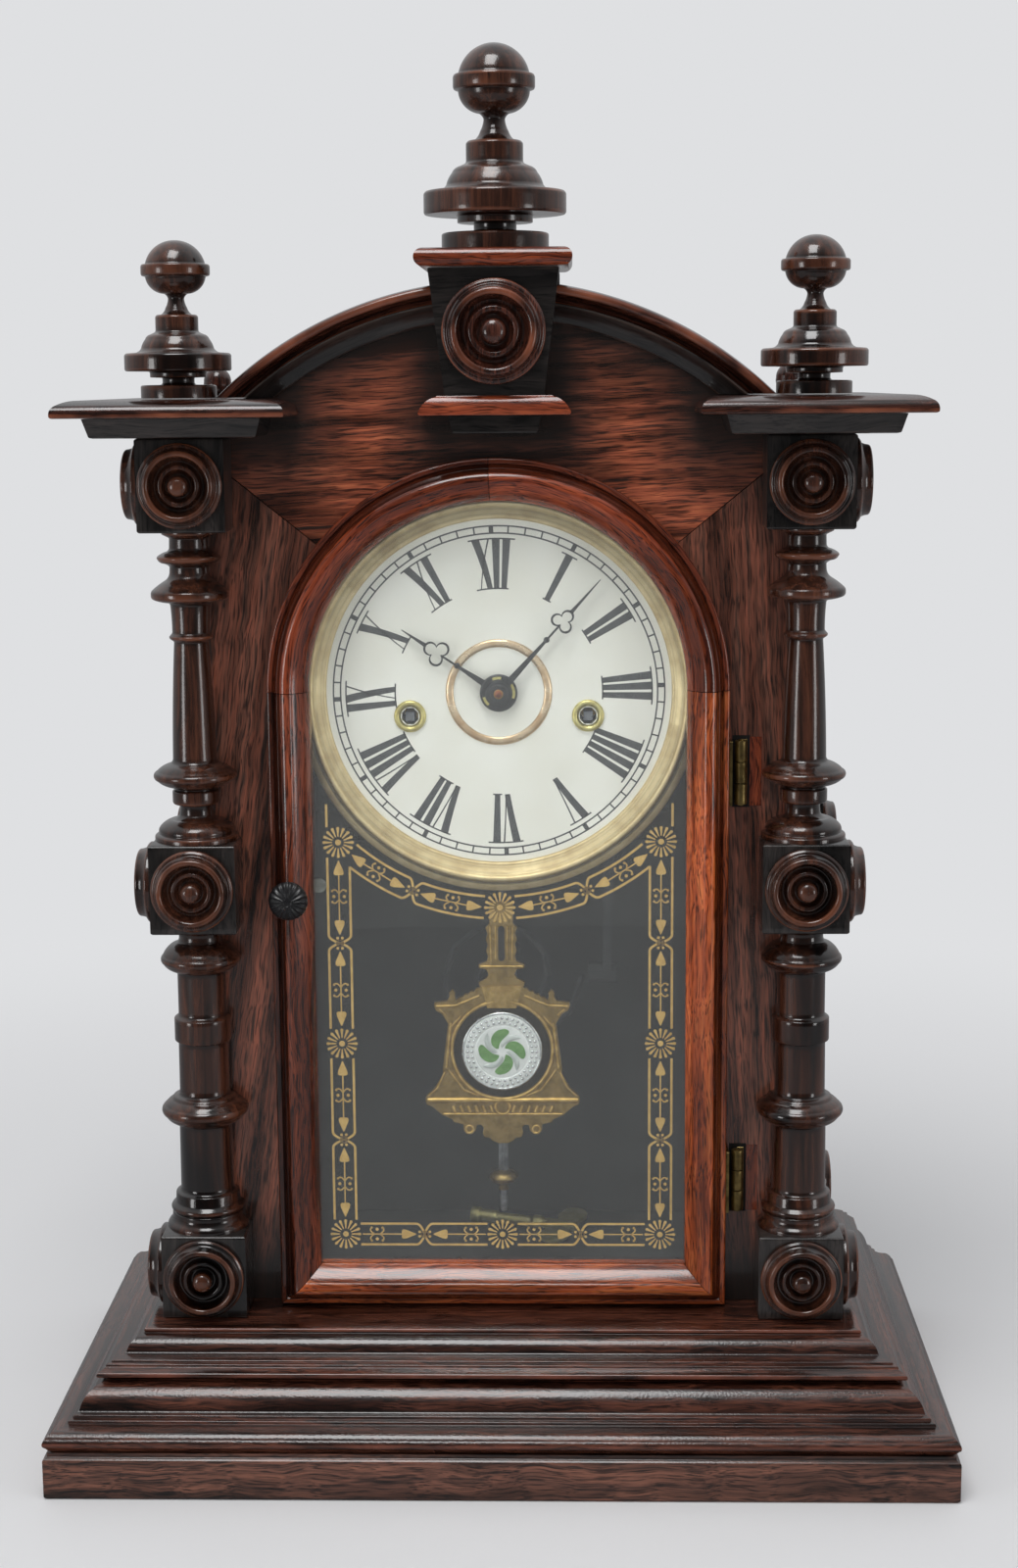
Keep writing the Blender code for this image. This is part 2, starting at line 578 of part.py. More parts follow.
def build_keystone():
    """Tapered block that sits over the roof's front edge, with its sill, drop, cap and rosette."""
    foot = KEYSTONE_FOOT
    top = KEYSTONE_TOP
    front = BOARD_FRONT - KEYSTONE_PROUD
    back = BOARD_FRONT - GAP
    roof_front = ROOF_FRONT - GAP
    roof_top = ROOF_Z + ROOF_RADIUS + GAP
    roof_under = ROOF_Z + math.sqrt(COVE_INNER ** 2 - (KEYSTONE_TOP_WIDTH / 2) ** 2) - GAP
    rear = front + KEYSTONE_DEPTH
    outline = [(front, foot), (back, foot), (back, roof_under), (roof_front, roof_under),
               (roof_front, roof_top), (rear, roof_top), (rear, top), (front, top)]
    rings = [[(side * keystone_half(z), y, z) for y, z in outline] for side in (-1, 1)]
    block = solid("keystone", rings, "ebonised_wood")
    sill_half = KEYSTONE_SILL_WIDTH / 2
    sill_front = front - KEYSTONE_SILL_PROUD
    height = KEYSTONE_SILL_HEIGHT
    sill = [(sill_half - height, foot + WELD), (sill_half - 0.3 * height, foot - 0.5 * height),
            (sill_half, foot - 0.8 * height), (sill_half, foot - height)]
    ledge = prism("ledge", mirrored(sill), "y", sill_front, back)
    half = KEYSTONE_FOOT_WIDTH / 2
    drop = [(half, foot - height + SINK), (half - 0.3 * KEYSTONE_DROP, foot - height - KEYSTONE_DROP)]
    tail = prism("tail", mirrored(drop), "y", front + SINK, back)
    upper = box("upper", (SINK - half, half - SINK), (front + SINK, back), (foot - SINK, foot + SINK))
    join(block, ledge, tail, upper)
    cap_half = KEYSTONE_TOP_WIDTH / 2 + KEYSTONE_CAP_OVERHANG
    bottom = top + GAP
    nose = KEYSTONE_CAP_HEIGHT / 2
    rounded = [(nose * (1 - cos(a)), bottom + nose * (1 + sin(a))) for a in (-90, -45, 0, 45, 90)]
    stepped_slab("keystone_cap", rounded, (-cap_half, cap_half),
                 (front - KEYSTONE_CAP_OVERHANG, rear + KEYSTONE_CAP_OVERHANG), (), "red_rosewood")
    rosette("keystone_rosette", KEYSTONE_ROSETTE_RADIUS, "y", -1,
            (0, front - GAP, (foot + top) / 2), KEYSTONE_ROSETTE_SIDES, 0)


def rosette(name, radius, axis, direction, centre, sides, sunk):
    """Turned rosette: quirk ring, raised ridge, groove, inner ring and domed button."""
    shape = ((1.00, 0.36), (0.80, 0.84), (0.60, 0.34), (0.44, 0.52), (0.27, 0.34), (0.22, 0.82), (0.0, 1.0))
    profile = [(radius, -direction * sunk)]
    profile += [(radius * share, direction * ROSETTE_HEIGHT * rise) for share, rise in shape]
    return turned(name, profile, axis, centre, sides, "red_rosewood")


def spindle_profile(shape, bottom, top):
    """Scale a turned profile of (radius, share of the length) between two blocks, sunk into both."""
    length = top - bottom
    inner = [(radius, bottom + share * length) for radius, share in shape]
    foot = [(0, bottom - SINK), (inner[0][0], bottom - SINK)]
    head = [(inner[-1][0], top + SINK), (0, top + SINK)]
    return foot + inner + head


def upper_spindle():
    """Turned member between the middle and the top block, from its foot upwards."""
    ring = COLUMN_RING
    neck = COLUMN_NECK
    return [(ring, 0.0), (ring, 0.024), (0.76 * ring, 0.055), (neck, 0.078), (neck, 0.115),
            (1.36 * neck, 0.122), (1.36 * neck, 0.168), (ring, 0.192), (ring, 0.228),
            (COLUMN_SHAFT_FOOT, 0.250), (COLUMN_SHAFT_TOP, 0.645), (1.36 * neck, 0.655), (1.36 * neck, 0.765),
            (0.94 * ring, 0.775), (0.94 * ring, 0.795), (neck, 0.850), (neck, 0.895), (0.76 * ring, 0.905),
            (0.76 * ring, 0.930), (neck, 0.940), (neck, 1.0)]


def lower_spindle():
    """Turned member between the base and the middle block, from its foot upwards."""
    ring = COLUMN_RING
    shaft = COLUMN_LOWER_SHAFT
    return [(ring, 0.0), (ring, 0.018), (1.22 * shaft, 0.038), (1.22 * shaft, 0.090), (1.05 * shaft, 0.098),
            (1.04 * shaft, 0.350), (ring, 0.375), (ring, 0.425), (shaft, 0.450), (shaft, 0.625),
            (1.1 * shaft, 0.630), (1.1 * shaft, 0.708), (0.94 * shaft, 0.713), (0.93 * shaft, 0.850),
            (0.95 * ring, 0.878), (0.95 * ring, 0.918), (0.90 * shaft, 0.945), (0.90 * shaft, 1.0)]


def column(name, side, axis_y, sides, front_rosettes):
    """One corner column: three blocks with rosettes, two turned members, cut away where the case stands."""
    x = side * COLUMN_X
    half = COLUMN_BLOCK / 2
    top = CORNICE_BOTTOM - GAP
    middle = FLOOR + MID_BLOCK_CENTRE
    half_middle = MID_BLOCK_HEIGHT / 2
    spans = ((STAND, STAND + BASE_BLOCK_HEIGHT), (middle - half_middle, middle + half_middle),
             (top - TOP_BLOCK_HEIGHT, top))
    blocks = [box(name, (x - half, x + half), (axis_y - half, axis_y + half), span) for span in spans]
    lower = spindle_profile(lower_spindle(), spans[0][1], spans[1][0])
    upper = spindle_profile(upper_spindle(), spans[1][1], spans[2][0])
    pieces = [turned("spindle", profile, "z", (x, axis_y, 0), sides) for profile in (lower, upper)]
    for low, high in spans:
        centre = (low + high) / 2
        outer = (x + side * half, axis_y, centre)
        pieces.append(rosette("boss", ROSETTE_RADIUS, "x", side, outer, SIDE_ROSETTE_SIDES, SINK))
        if front_rosettes:
            face = (x, axis_y - half, centre)
            pieces.append(rosette("boss", ROSETTE_RADIUS, "y", -1, face, ROSETTE_SIDES, SINK))
    body = join(*blocks, *pieces)
    near = BOARD_FRONT - GAP if front_rosettes else -CLEAR
    inner = sorted((side * (CASE_HALF + GAP), -side * CLEAR))
    carve(body, [box("case", inner, (near, CLEAR), (-CLEAR, CLEAR))])
    body.data.materials.clear()
    body.data.materials.append(finish("ebonised_wood"))


def build_columns():
    """Four columns: corner columns in front, half columns against the sides at the rear."""
    for side, word in ((-1, "left"), (1, "right")):
        column("column_front_" + word, side, COLUMN_Y, COLUMN_SIDES, True)
        column("column_rear_" + word, side, REAR_COLUMN_Y, REAR_COLUMN_SIDES, False)


def build_cornices():
    """A cove and thumb-moulded cap over each pair of columns, notched round the case; a ball at the rear."""
    half = CORNICE_WIDTH / 2
    stem = REAR_BALL_STEM
    foot = 1.6 * stem
    ball = [(0, -SINK), (foot, -SINK), (foot, 0.2 * REAR_BALL), (stem, 0.4 * REAR_BALL)]
    ball += [(REAR_BALL * cos(a), REAR_BALL * (1.25 + sin(a))) for a in (-50, 0, 45, 90)]
    cove = [(0.30 + 0.70 * cos(a), 0.55 * sin(a)) for a in (0, 30, 60, 90)]
    thumb = [(0.10, 0.58), (0.0, 0.66), (0.10, 0.78), (0.40, 0.90), (1.0, 1.0)]
    profile = [(CORNICE_COVE * inset, CORNICE_BOTTOM + CORNICE_HEIGHT * rise) for inset, rise in cove + thumb]
    for side, word in ((-1, "left"), (1, "right")):
        x = side * COLUMN_X
        cornice = stepped_slab("cornice_" + word, profile, (x - half, x + half),
                               (COLUMN_Y - half, CASE_BACK + CORNICE_REAR_OVERHANG), "rear", "rosewood")
        inner = sorted((side * (CASE_HALF + GAP), -side * CLEAR))
        carve(cornice, [box("case", inner, (BOARD_FRONT - GAP, CLEAR), (-CLEAR, CLEAR))])
        place = (side * SIDE_FINIAL_X, REAR_COLUMN_Y, CORNICE_TOP)
        join(cornice, turned("ball", ball, "z", place, ROUND_SIDES))


def finial(name, centre, height, disc, ball, foot):
    """Turned finial, from its foot: lower disc, neck, broad disc, bell, collar, neck and banded ball."""
    collar = 0.40 * disc
    ball_centre = height - ball
    band = 0.23 * ball
    profile = [(0, 0), (foot, 0), (foot, 0.085 * height), (0.30 * disc, 0.090 * height),
               (0.30 * disc, 0.130 * height), (0.53 * disc, 0.135 * height), (0.53 * disc, 0.172 * height),
               (disc, 0.180 * height), (disc, 0.290 * height), (0.74 * disc, 0.300 * height),
               (collar, 0.420 * height), (collar, 0.530 * height), (0.30 * disc, 0.535 * height),
               (0.15 * disc, 0.600 * height)]
    profile += [(ball * cos(a), ball_centre + ball * sin(a)) for a in (-70, -40)]
    profile += [(0.97 * ball, ball_centre - band), (1.14 * ball, ball_centre - band),
                (1.14 * ball, ball_centre + band), (0.97 * ball, ball_centre + band)]
    profile += [(ball * cos(a), ball_centre + ball * sin(a)) for a in (45, 90)]
    turned(name, profile, "z", centre, FINIAL_SIDES, "ebonised_wood")


def build_finials():
    """Two finials on the cornices over the front columns, and a larger one on the keystone's cap."""
    seat = CORNICE_TOP + GAP
    for side, word in ((-1, "left"), (1, "right")):
        finial("finial_" + word, (side * SIDE_FINIAL_X, COLUMN_Y, seat),
               SIDE_FINIAL_HEIGHT, SIDE_FINIAL_DISC, SIDE_FINIAL_BALL, SIDE_FINIAL_FOOT)
    centre_y = BOARD_FRONT - KEYSTONE_PROUD + KEYSTONE_DEPTH / 2
    finial("finial_centre", (0, centre_y, KEYSTONE_TOP + KEYSTONE_CAP_HEIGHT + 2 * GAP),
           CENTRE_FINIAL_HEIGHT, CENTRE_FINIAL_DISC, CENTRE_FINIAL_BALL, CENTRE_FINIAL_FOOT)


def door_section():
    """Section of a door member, (inset from its outer edge, Y): fillet, round moulding, glass rebate."""
    wide = DOOR_MEMBER
    edge = DOOR_BACK - DOOR_EDGE
    swell = DOOR_CROWN - DOOR_EDGE
    seat = DOOR_BACK - GLASS_SETBACK - GAP
    outer = [(0, DOOR_BACK), (0, edge), (0.15 * wide, edge), (0.17 * wide, edge + 0.2 * swell)]
    crown = [(wide * (0.55 - 0.35 * cos(a)), edge - swell * sin(a)) for a in (0, 35, 70, 110, 145, 180)]
    rebate = wide - DOOR_REBATE
    return outer + crown + [(wide, edge + 0.4 * swell), (wide, seat), (rebate, seat), (rebate, DOOR_BACK)]


def knob_place():
    """Knob axis on the left stile's crown: X and Z."""
    return -(DOOR_HALF - 0.48 * DOOR_MEMBER), RAIL_FOOT - KNOB_DROP


def hinge_heights():
    """Heights of the two hinges' middles."""
    return DOOR_Z - UPPER_HINGE_DROP, FLOOR + LOWER_HINGE_RISE


def build_door():
    """Arched head, two stiles and a rail with mitred corners, glazed, on two hinges."""
    section = door_section()
    axis = (HINGE_X, HINGE_Y, DOOR_Z)
    head = []
    for step in range(ARCH_STEPS + 1):
        turn = 180 * step / ARCH_STEPS
        spokes = [(DOOR_HALF - inset, y) for inset, y in section]
        head.append([(reach * cos(turn), y, DOOR_Z + GAP + reach * sin(turn)) for reach, y in spokes])
    set_origin(solid("door_arch", head, "red_rosewood"), axis)
    for side, name in ((-1, "door_stile_left"), (1, "door_stile_right")):
        foot = [(side * (DOOR_HALF - u), y, DOOR_FOOT + u + GAP) for u, y in section]
        top = [(side * (DOOR_HALF - u), y, DOOR_Z) for u, y in section]
        stile = solid(name, [foot, top], "red_rosewood")
        if side < 0:
            x, z = knob_place()
            hole = SPINDLE_RADIUS + RUN
            carve(stile, [rod("bore", hole, -CLEAR, CLEAR, (x, z))])
        set_origin(stile, axis)
    rail = [[(side * (DOOR_HALF - u - GAP), y, DOOR_FOOT + u) for u, y in section] for side in (-1, 1)]
    set_origin(solid("door_rail", rail, "red_rosewood"), axis)
    foot = DOOR_FOOT + DOOR_HALF - GLASS_HALF
    outline = arched_outline(GLASS_HALF, foot, DOOR_Z + GAP)
    glass = prism("door_glass", outline, "y", GLASS_BACK - GLASS_THICKNESS, GLASS_BACK, "glass")
    set_origin(glass, axis)
    build_knob()
    for word, centre in zip(("upper", "lower"), hinge_heights()):
        build_hinge(word, centre)


def build_knob():
    """Fluted knob on a spindle through the stile, with the turning latch behind the front board."""
    x, z = knob_place()
    base = DOOR_BACK - DOOR_CROWN - GAP
    shape = ((0.0, 0.0), (0.60, 0.0), (0.66, 0.18), (1.0, 0.42), (0.92, 0.72), (0.55, 0.94), (0.0, 1.0))
    sides = 2 * KNOB_FLUTES
    rings = []
    for share, rise in shape:
        ring = []
        for step in range(sides):
            turn = 2 * math.pi * step / sides
            radius = KNOB_RADIUS * share * (1 - 0.05 * (1 - math.cos(KNOB_FLUTES * turn)))
            ring.append((x + radius * math.cos(turn), base - KNOB_LENGTH * rise, z + radius * math.sin(turn)))
        rings.append(ring)
    knob = solid("door_knob", rings, "black_knob")
    latch_front = BOARD_BACK + 2 * GAP
    latch_back = latch_front + LATCH_THICKNESS
    spindle = rod("spindle", SPINDLE_RADIUS, base - SINK, latch_back, (x, z))
    half = LATCH_WIDTH / 2
    tongue = arc((x, z), half, 90, 270, 4) + arc((x + LATCH_LENGTH - half, z), half, -90, 90, 4)
    join(knob, spindle, prism("tongue", tongue, "y", latch_front, latch_back - HAIR))
    set_origin(knob, (x, base, z))


def build_hinge(word, centre):
    """Butt hinge: one leaf let into the front board with the pin, the other on the door's edge."""
    low = centre - HINGE_LENGTH / 2
    third = HINGE_LENGTH / 3
    leaf = box("hinge_case_leaf_" + word, (HINGE_X - HINGE_BARREL + GAP, HINGE_X + HINGE_LEAF_WIDTH),
               (BOARD_FRONT, BOARD_FRONT + HINGE_LEAF), (low, low + HINGE_LENGTH), "brass")
    axis = (HINGE_X, HINGE_Y, 0)
    pin = [(HINGE_PIN, low + third / 2), (HINGE_PIN, low + 2.5 * third)]
    pieces = [turned("pin", pin, "z", axis, SMALL_SIDES)]
    web_x = (HINGE_X, HINGE_X + 0.8 * HINGE_BARREL)
    for start in (low, low + 2 * third):
        span = (start, start + third)
        pieces.append(turned("knuckle", [(HINGE_BARREL, height) for height in span], "z", axis, ROUND_SIDES))
        pieces.append(box("web", web_x, (HINGE_Y, BOARD_FRONT + HINGE_LEAF / 2), span))
    join(leaf, *pieces)
    set_origin(leaf, (HINGE_X, HINGE_Y, centre))
    edge = DOOR_HALF + GAP
    plate_x = (edge, edge + HINGE_LEAF)
    plate_y = (DOOR_BACK - DOOR_EDGE + GAP, DOOR_BACK)
    plate = box("hinge_door_leaf_" + word, plate_x, plate_y, (low, low + HINGE_LENGTH), "brass")
    bore = HINGE_PIN + RUN / 2
    span = (low + third + GAP, low + 2 * third - GAP)
    knuckle = tube("knuckle", bore, HINGE_BARREL, span, axis)
    web = box("web", (edge + HINGE_LEAF / 2, HINGE_X - (bore + HINGE_BARREL) / 2),
              (HINGE_Y - HINGE_LEAF / 2, HINGE_Y + HINGE_LEAF / 2), span)
    join(plate, knuckle, web)
    set_origin(plate, (HINGE_X, HINGE_Y, centre))


def ring(name, inner, outer, front, back, centre, sides, material=None):
    """Flat ring or short tube about a Y axis."""
    profile = [(outer, front), (outer, back), (inner, back), (inner, front)]
    return turned(name, profile, "y", (centre[0], 0, centre[1]), sides, material, hollow=True)


def tube(name, inner, outer, span, axis):
    """Upright tube between two heights about a Z axis."""
    low, high = span
    profile = [(outer, low), (outer, high), (inner, high), (inner, low)]
    return turned(name, profile, "z", axis, ROUND_SIDES, hollow=True)


def rod(name, radius, front, back, centre, sides=ROUND_SIDES, material=None):
    """Round rod along Y."""
    return turned(name, [(radius, front), (radius, back)], "y", (centre[0], 0, centre[1]), sides, material)


def winding_centres():
    """The two winding arbors: time on the right, strike on the left."""
    return (("time", (WINDING_X, WINDING_Z)), ("strike", (-WINDING_X, WINDING_Z)))


def build_dial():
    """Painted dial with two fixing ears, its raised centre ring, the bezel and the winding grommets."""
    lean = math.degrees(math.asin(DIAL_EAR_HEIGHT / 2 / DIAL_RADIUS))
    reach = DIAL_RADIUS + DIAL_EAR
    half = DIAL_EAR_HEIGHT / 2
    centre = (0, DIAL_Z)
    steps = RING_SIDES // 2
    outline = [(reach, DIAL_Z - half), (reach, DIAL_Z + half)]
    outline += arc(centre, DIAL_RADIUS, lean, 180 - lean, steps)
    outline += [(-reach, DIAL_Z + half), (-reach, DIAL_Z - half)]
    outline += arc(centre, DIAL_RADIUS, 180 + lean, 360 - lean, steps)
    dial = prism("dial_plate", outline, "y", DIAL_FRONT, DIAL_BACK, "dial_paint")
    raised = (DIAL_FRONT - CENTRE_RING_HEIGHT, DIAL_FRONT + DIAL_THICKNESS / 2)
    join(dial, ring("ring", CENTRE_RING_INNER, CENTRE_RING_OUTER, *raised, centre, SMALL_RING_SIDES))
    seat = DIAL_FRONT - GAP
    holes = [rod("hole", HOUR_PIPE + 2 * RUN, -CLEAR, CLEAR, centre)]
    for word, place in winding_centres():
        holes.append(rod("hole", GROMMET_HOLE, -CLEAR, CLEAR, place))
        eyelet = [(GROMMET_OUTER, seat), (0.92 * GROMMET_OUTER, seat - 0.8 * GROMMET_HEIGHT),
                  (0.72 * GROMMET_OUTER, seat - GROMMET_HEIGHT), (GROMMET_HOLE, seat - 0.3 * GROMMET_HEIGHT),
                  (GROMMET_HOLE, seat)]
        axis = (place[0], 0, place[1])
        turned(f"winding_grommet_{word}", eyelet, "y", axis, BOSS_SIDES, "brass", hollow=True)
    carve(dial, holes)
    shape = ((1.0, 0.0), (1.0, 0.45), (0.85, 1.0), (0.55, 0.90), (0.42, 0.46), (0.0, 0.10))
    profile = [(BEZEL_INNER + share * BEZEL_WIDTH, seat - rise * BEZEL_HEIGHT) for share, rise in shape]
    turned("dial_bezel", profile, "y", (0, 0, DIAL_Z), RING_SIDES, "brass", hollow=True)


def gear_outline(centre, teeth, module, phase):
    """Outline of a wheel with pointed teeth; the first tooth points along the phase angle."""
    radius = module * teeth / 2
    pitch = 2 * math.pi / teeth
    points = []
    for tooth in range(teeth):
        for share, depth in ((-0.30, -1.0), (0, 0.8), (0.30, -1.0)):
            turn = phase + (tooth + share) * pitch
            reach = radius + depth * module
            points.append((centre[0] + reach * math.cos(turn), centre[1] + reach * math.sin(turn)))
    return points


def hand(name, front, length, angle, bore):
    """Pierced hand: boss, tapered stem, trefoil of three rings and a pointed tip, turned to its hour."""
    back = front + HAND_THICKNESS
    lobe = HAND_LOBE
    centre = length * HAND_TREFOIL_SHARE
    crown = centre + 1.3 * lobe
    body = ring(name, bore, HAND_BOSS, front, back, (0, 0), BOSS_SIDES, "black_steel")
    stem = [(HAND_STEM, HAND_BOSS - HAND_STEM), (HAND_NECK, centre - 0.3 * lobe)]
    tip = [(HAND_NECK, crown + (lobe + HAND_EYE) / 2), (HAND_TIP, length)]
    pieces = [prism("blade", mirrored(half), "y", front, back) for half in (stem, tip)]
    for place in ((-0.9 * lobe, centre), (0.9 * lobe, centre), (0, crown)):
        pieces.append(ring("lobe", HAND_EYE, lobe, front, back, place, LOBE_SIDES))
    join(body, *pieces)
    body.data.transform(Matrix.Rotation(angle, 4, "Y"))
    body.location = (0, 0, DIAL_Z)
    return body


def hand_levels():
    """Front faces of the hour hand, the minute hand and the nut, from the dial outwards."""
    hour = DIAL_FRONT - BEZEL_HEIGHT * 0.5
    minute = hour - GAP - HAND_THICKNESS * 2
    nut = minute - GAP - HAND_NUT_HEIGHT
    return hour, minute, nut


def build_motion():
    """Centre arbor with the cannon pinion, minute wheel, hour wheel on its pipe, both hands and the nut."""
    hour_front, minute_front, nut_front = hand_levels()
    centre = (0, DIAL_Z)
    above = (0, DIAL_Z + MOTION_DISTANCE)
    up = math.pi / 2
    down = -up
    low_back = FRONT_PLATE_FRONT - 2 * GAP
    low_front = low_back - MOTION_WHEEL
    high_back = low_front - 2 * GAP
    high_front = high_back - MOTION_WHEEL
    arbor = rod("centre_arbor", CENTRE_ARBOR, nut_front - GAP, BACK_PLATE_BACK, centre, ROUND_SIDES, "brass")
    outline = gear_outline(centre, CANNON_TEETH, CANNON_MODULE, up)
    join(arbor, prism("pinion", outline, "y", low_front, low_back))
    set_origin(arbor, (0, 0, DIAL_Z))
    outline = gear_outline(above, MINUTE_WHEEL_TEETH, CANNON_MODULE, down + math.pi / MINUTE_WHEEL_TEETH)
    wheel = prism("minute_wheel", outline, "y", low_front, low_back, "brass")
    outline = gear_outline(above, MINUTE_PINION_TEETH, PINION_MODULE, down)
    join(wheel, prism("pinion", outline, "y", high_front - GAP, low_front + GAP))
    carve(wheel, [rod("bore", PIVOT_RADIUS + RUN / 2, -CLEAR, CLEAR, above)])
    set_origin(wheel, (0, 0, above[1]))
    pipe = rod("hour_wheel", HOUR_PIPE, hour_front - GAP, high_back, centre, ROUND_SIDES, "brass")
    outline = gear_outline(centre, HOUR_WHEEL_TEETH, PINION_MODULE, up + math.pi / HOUR_WHEEL_TEETH)
    join(pipe, prism("wheel", outline, "y", high_front, high_back - HAIR))
    carve(pipe, [rod("bore", CENTRE_ARBOR + RUN, -CLEAR, CLEAR, centre)])
    set_origin(pipe, (0, 0, DIAL_Z))
    hand("hour_hand", hour_front, HOUR_HAND_LENGTH, HOUR_HAND_ANGLE, HOUR_PIPE + GAP)
    hand("minute_hand", minute_front, MINUTE_HAND_LENGTH, MINUTE_HAND_ANGLE, CENTRE_ARBOR + GAP)
    back = minute_front - GAP
    bore = CENTRE_ARBOR + GAP
    profile = [(HAND_NUT_RADIUS, back), (HAND_NUT_RADIUS, back - 0.4 * HAND_NUT_HEIGHT),
               (0.5 * HAND_NUT_RADIUS, nut_front), (bore, nut_front), (bore, back)]
    nut = turned("hand_nut", profile, "y", (0, 0, DIAL_Z), BOSS_SIDES, "black_steel", hollow=True)
    set_origin(nut, (0, 0, DIAL_Z))


def plate_outline(ears):
    """Movement plate: a tapered rectangle, with four ears out to the rails on the front plate."""
    half = PLATE_WIDTH / 2
    top = DIAL_Z + PLATE_RISE
    foot = DIAL_Z - PLATE_FALL
    right = [(half, foot), (half, top)]
    if ears:
        reach = RAIL_OUTER - RAIL_OVERLAP
        lower = foot + PLATE_EAR_HEIGHT
        upper = top - PLATE_EAR_HEIGHT
        right = [(half, foot), (reach, foot), (reach, lower), (half, lower),
                 (half, upper), (reach, upper), (reach, top), (half, top)]
    return mirrored(right)


def build_plates():
    """Front and back plate with windows and pivot holes; pillars on the back, stud and cock on the front."""
    pivots = [((0, DIAL_Z), CENTRE_ARBOR)] + [(place, WINDING_ARBOR) for word, place in winding_centres()]
    pivots += [(place, PIVOT_RADIUS) for place in ((0, ESCAPE_Z), (0, VERGE_Z), (HAMMER_OUT, HAMMER_Z))]
    half = PLATE_WIDTH / 2
    top = DIAL_Z + PLATE_RISE
    foot = DIAL_Z - PLATE_FALL
    through = (-CLEAR, CLEAR)
    window = (DIAL_Z + MOTION_DISTANCE + 4 * PIVOT_RADIUS, top - PLATE_EAR_HEIGHT)
    side_window = (foot + PLATE_EAR_HEIGHT, ESCAPE_Z + ESCAPE_RADIUS / 2)
    front_y = (FRONT_PLATE_FRONT, FRONT_PLATE_BACK)
    front = prism("movement_front_plate", plate_outline(True), "y", *front_y, "brass")
    back_y = (BACK_PLATE_FRONT, BACK_PLATE_BACK)
    back = prism("movement_back_plate", plate_outline(False), "y", *back_y, "brass")
    for plate in (front, back):
        cuts = [rod("hole", radius + 2 * RUN, *through, place) for place, radius in pivots]
        cuts.append(box("window", (-0.3 * half, 0.3 * half), through, window))
        for side in (-1, 1):
            x_range = sorted((side * 0.32 * half, side * 0.62 * half))
            cuts.append(box("window", x_range, through, side_window))
        carve(plate, cuts)
    seat = FRONT_PLATE_BACK - GAP
    stud_front = FRONT_PLATE_FRONT - 2 * MOTION_WHEEL - 6 * GAP
    stud = rod("stud", PIVOT_RADIUS - RUN / 2, stud_front, seat, (0, DIAL_Z + MOTION_DISTANCE))
    cock_foot = VERGE_Z + COCK_RISE
    cock = box("cock", (-COCK_WIDTH / 2, COCK_WIDTH / 2), (ROD_Y - 2 * ROD_RADIUS, seat),
               (cock_foot, cock_foot + COCK_HEIGHT))
    join(front, stud, cock)
    pillars = []
    pillar_y = (FRONT_PLATE_BACK + GAP, BACK_PLATE_FRONT + PLATE_THICKNESS / 2)
    for x in (-half + PILLAR_INSET, half - PILLAR_INSET):
        for z in (foot + PILLAR_INSET, top - PILLAR_INSET):
            pillars.append(rod("pillar", PILLAR_RADIUS, *pillar_y, (x, z)))
    join(back, *pillars)


def spiral(centre, inner, outer, turns, steps):
    """Points of a flat spiral with even pitch: (x, z, outward x, outward z)."""
    points = []
    for step in range(turns * steps + 1):
        turn = 360 * step / steps
        radius = inner + (outer - inner) * step / (turns * steps)
        points.append((centre[0] + radius * cos(turn), centre[1] + radius * sin(turn), cos(turn), sin(turn)))
    return points


def toothed_outline(centre, radius, teeth, shape):
    """Outline of a wheel whose teeth repeat a shape of (share of the pitch, share of the radius)."""
    points = []
    for tooth in range(teeth):
        for share, reach in shape:
            turn = 360 * (tooth + share) / teeth
            points.append((centre[0] + radius * reach * cos(turn), centre[1] + radius * reach * sin(turn)))
    return points


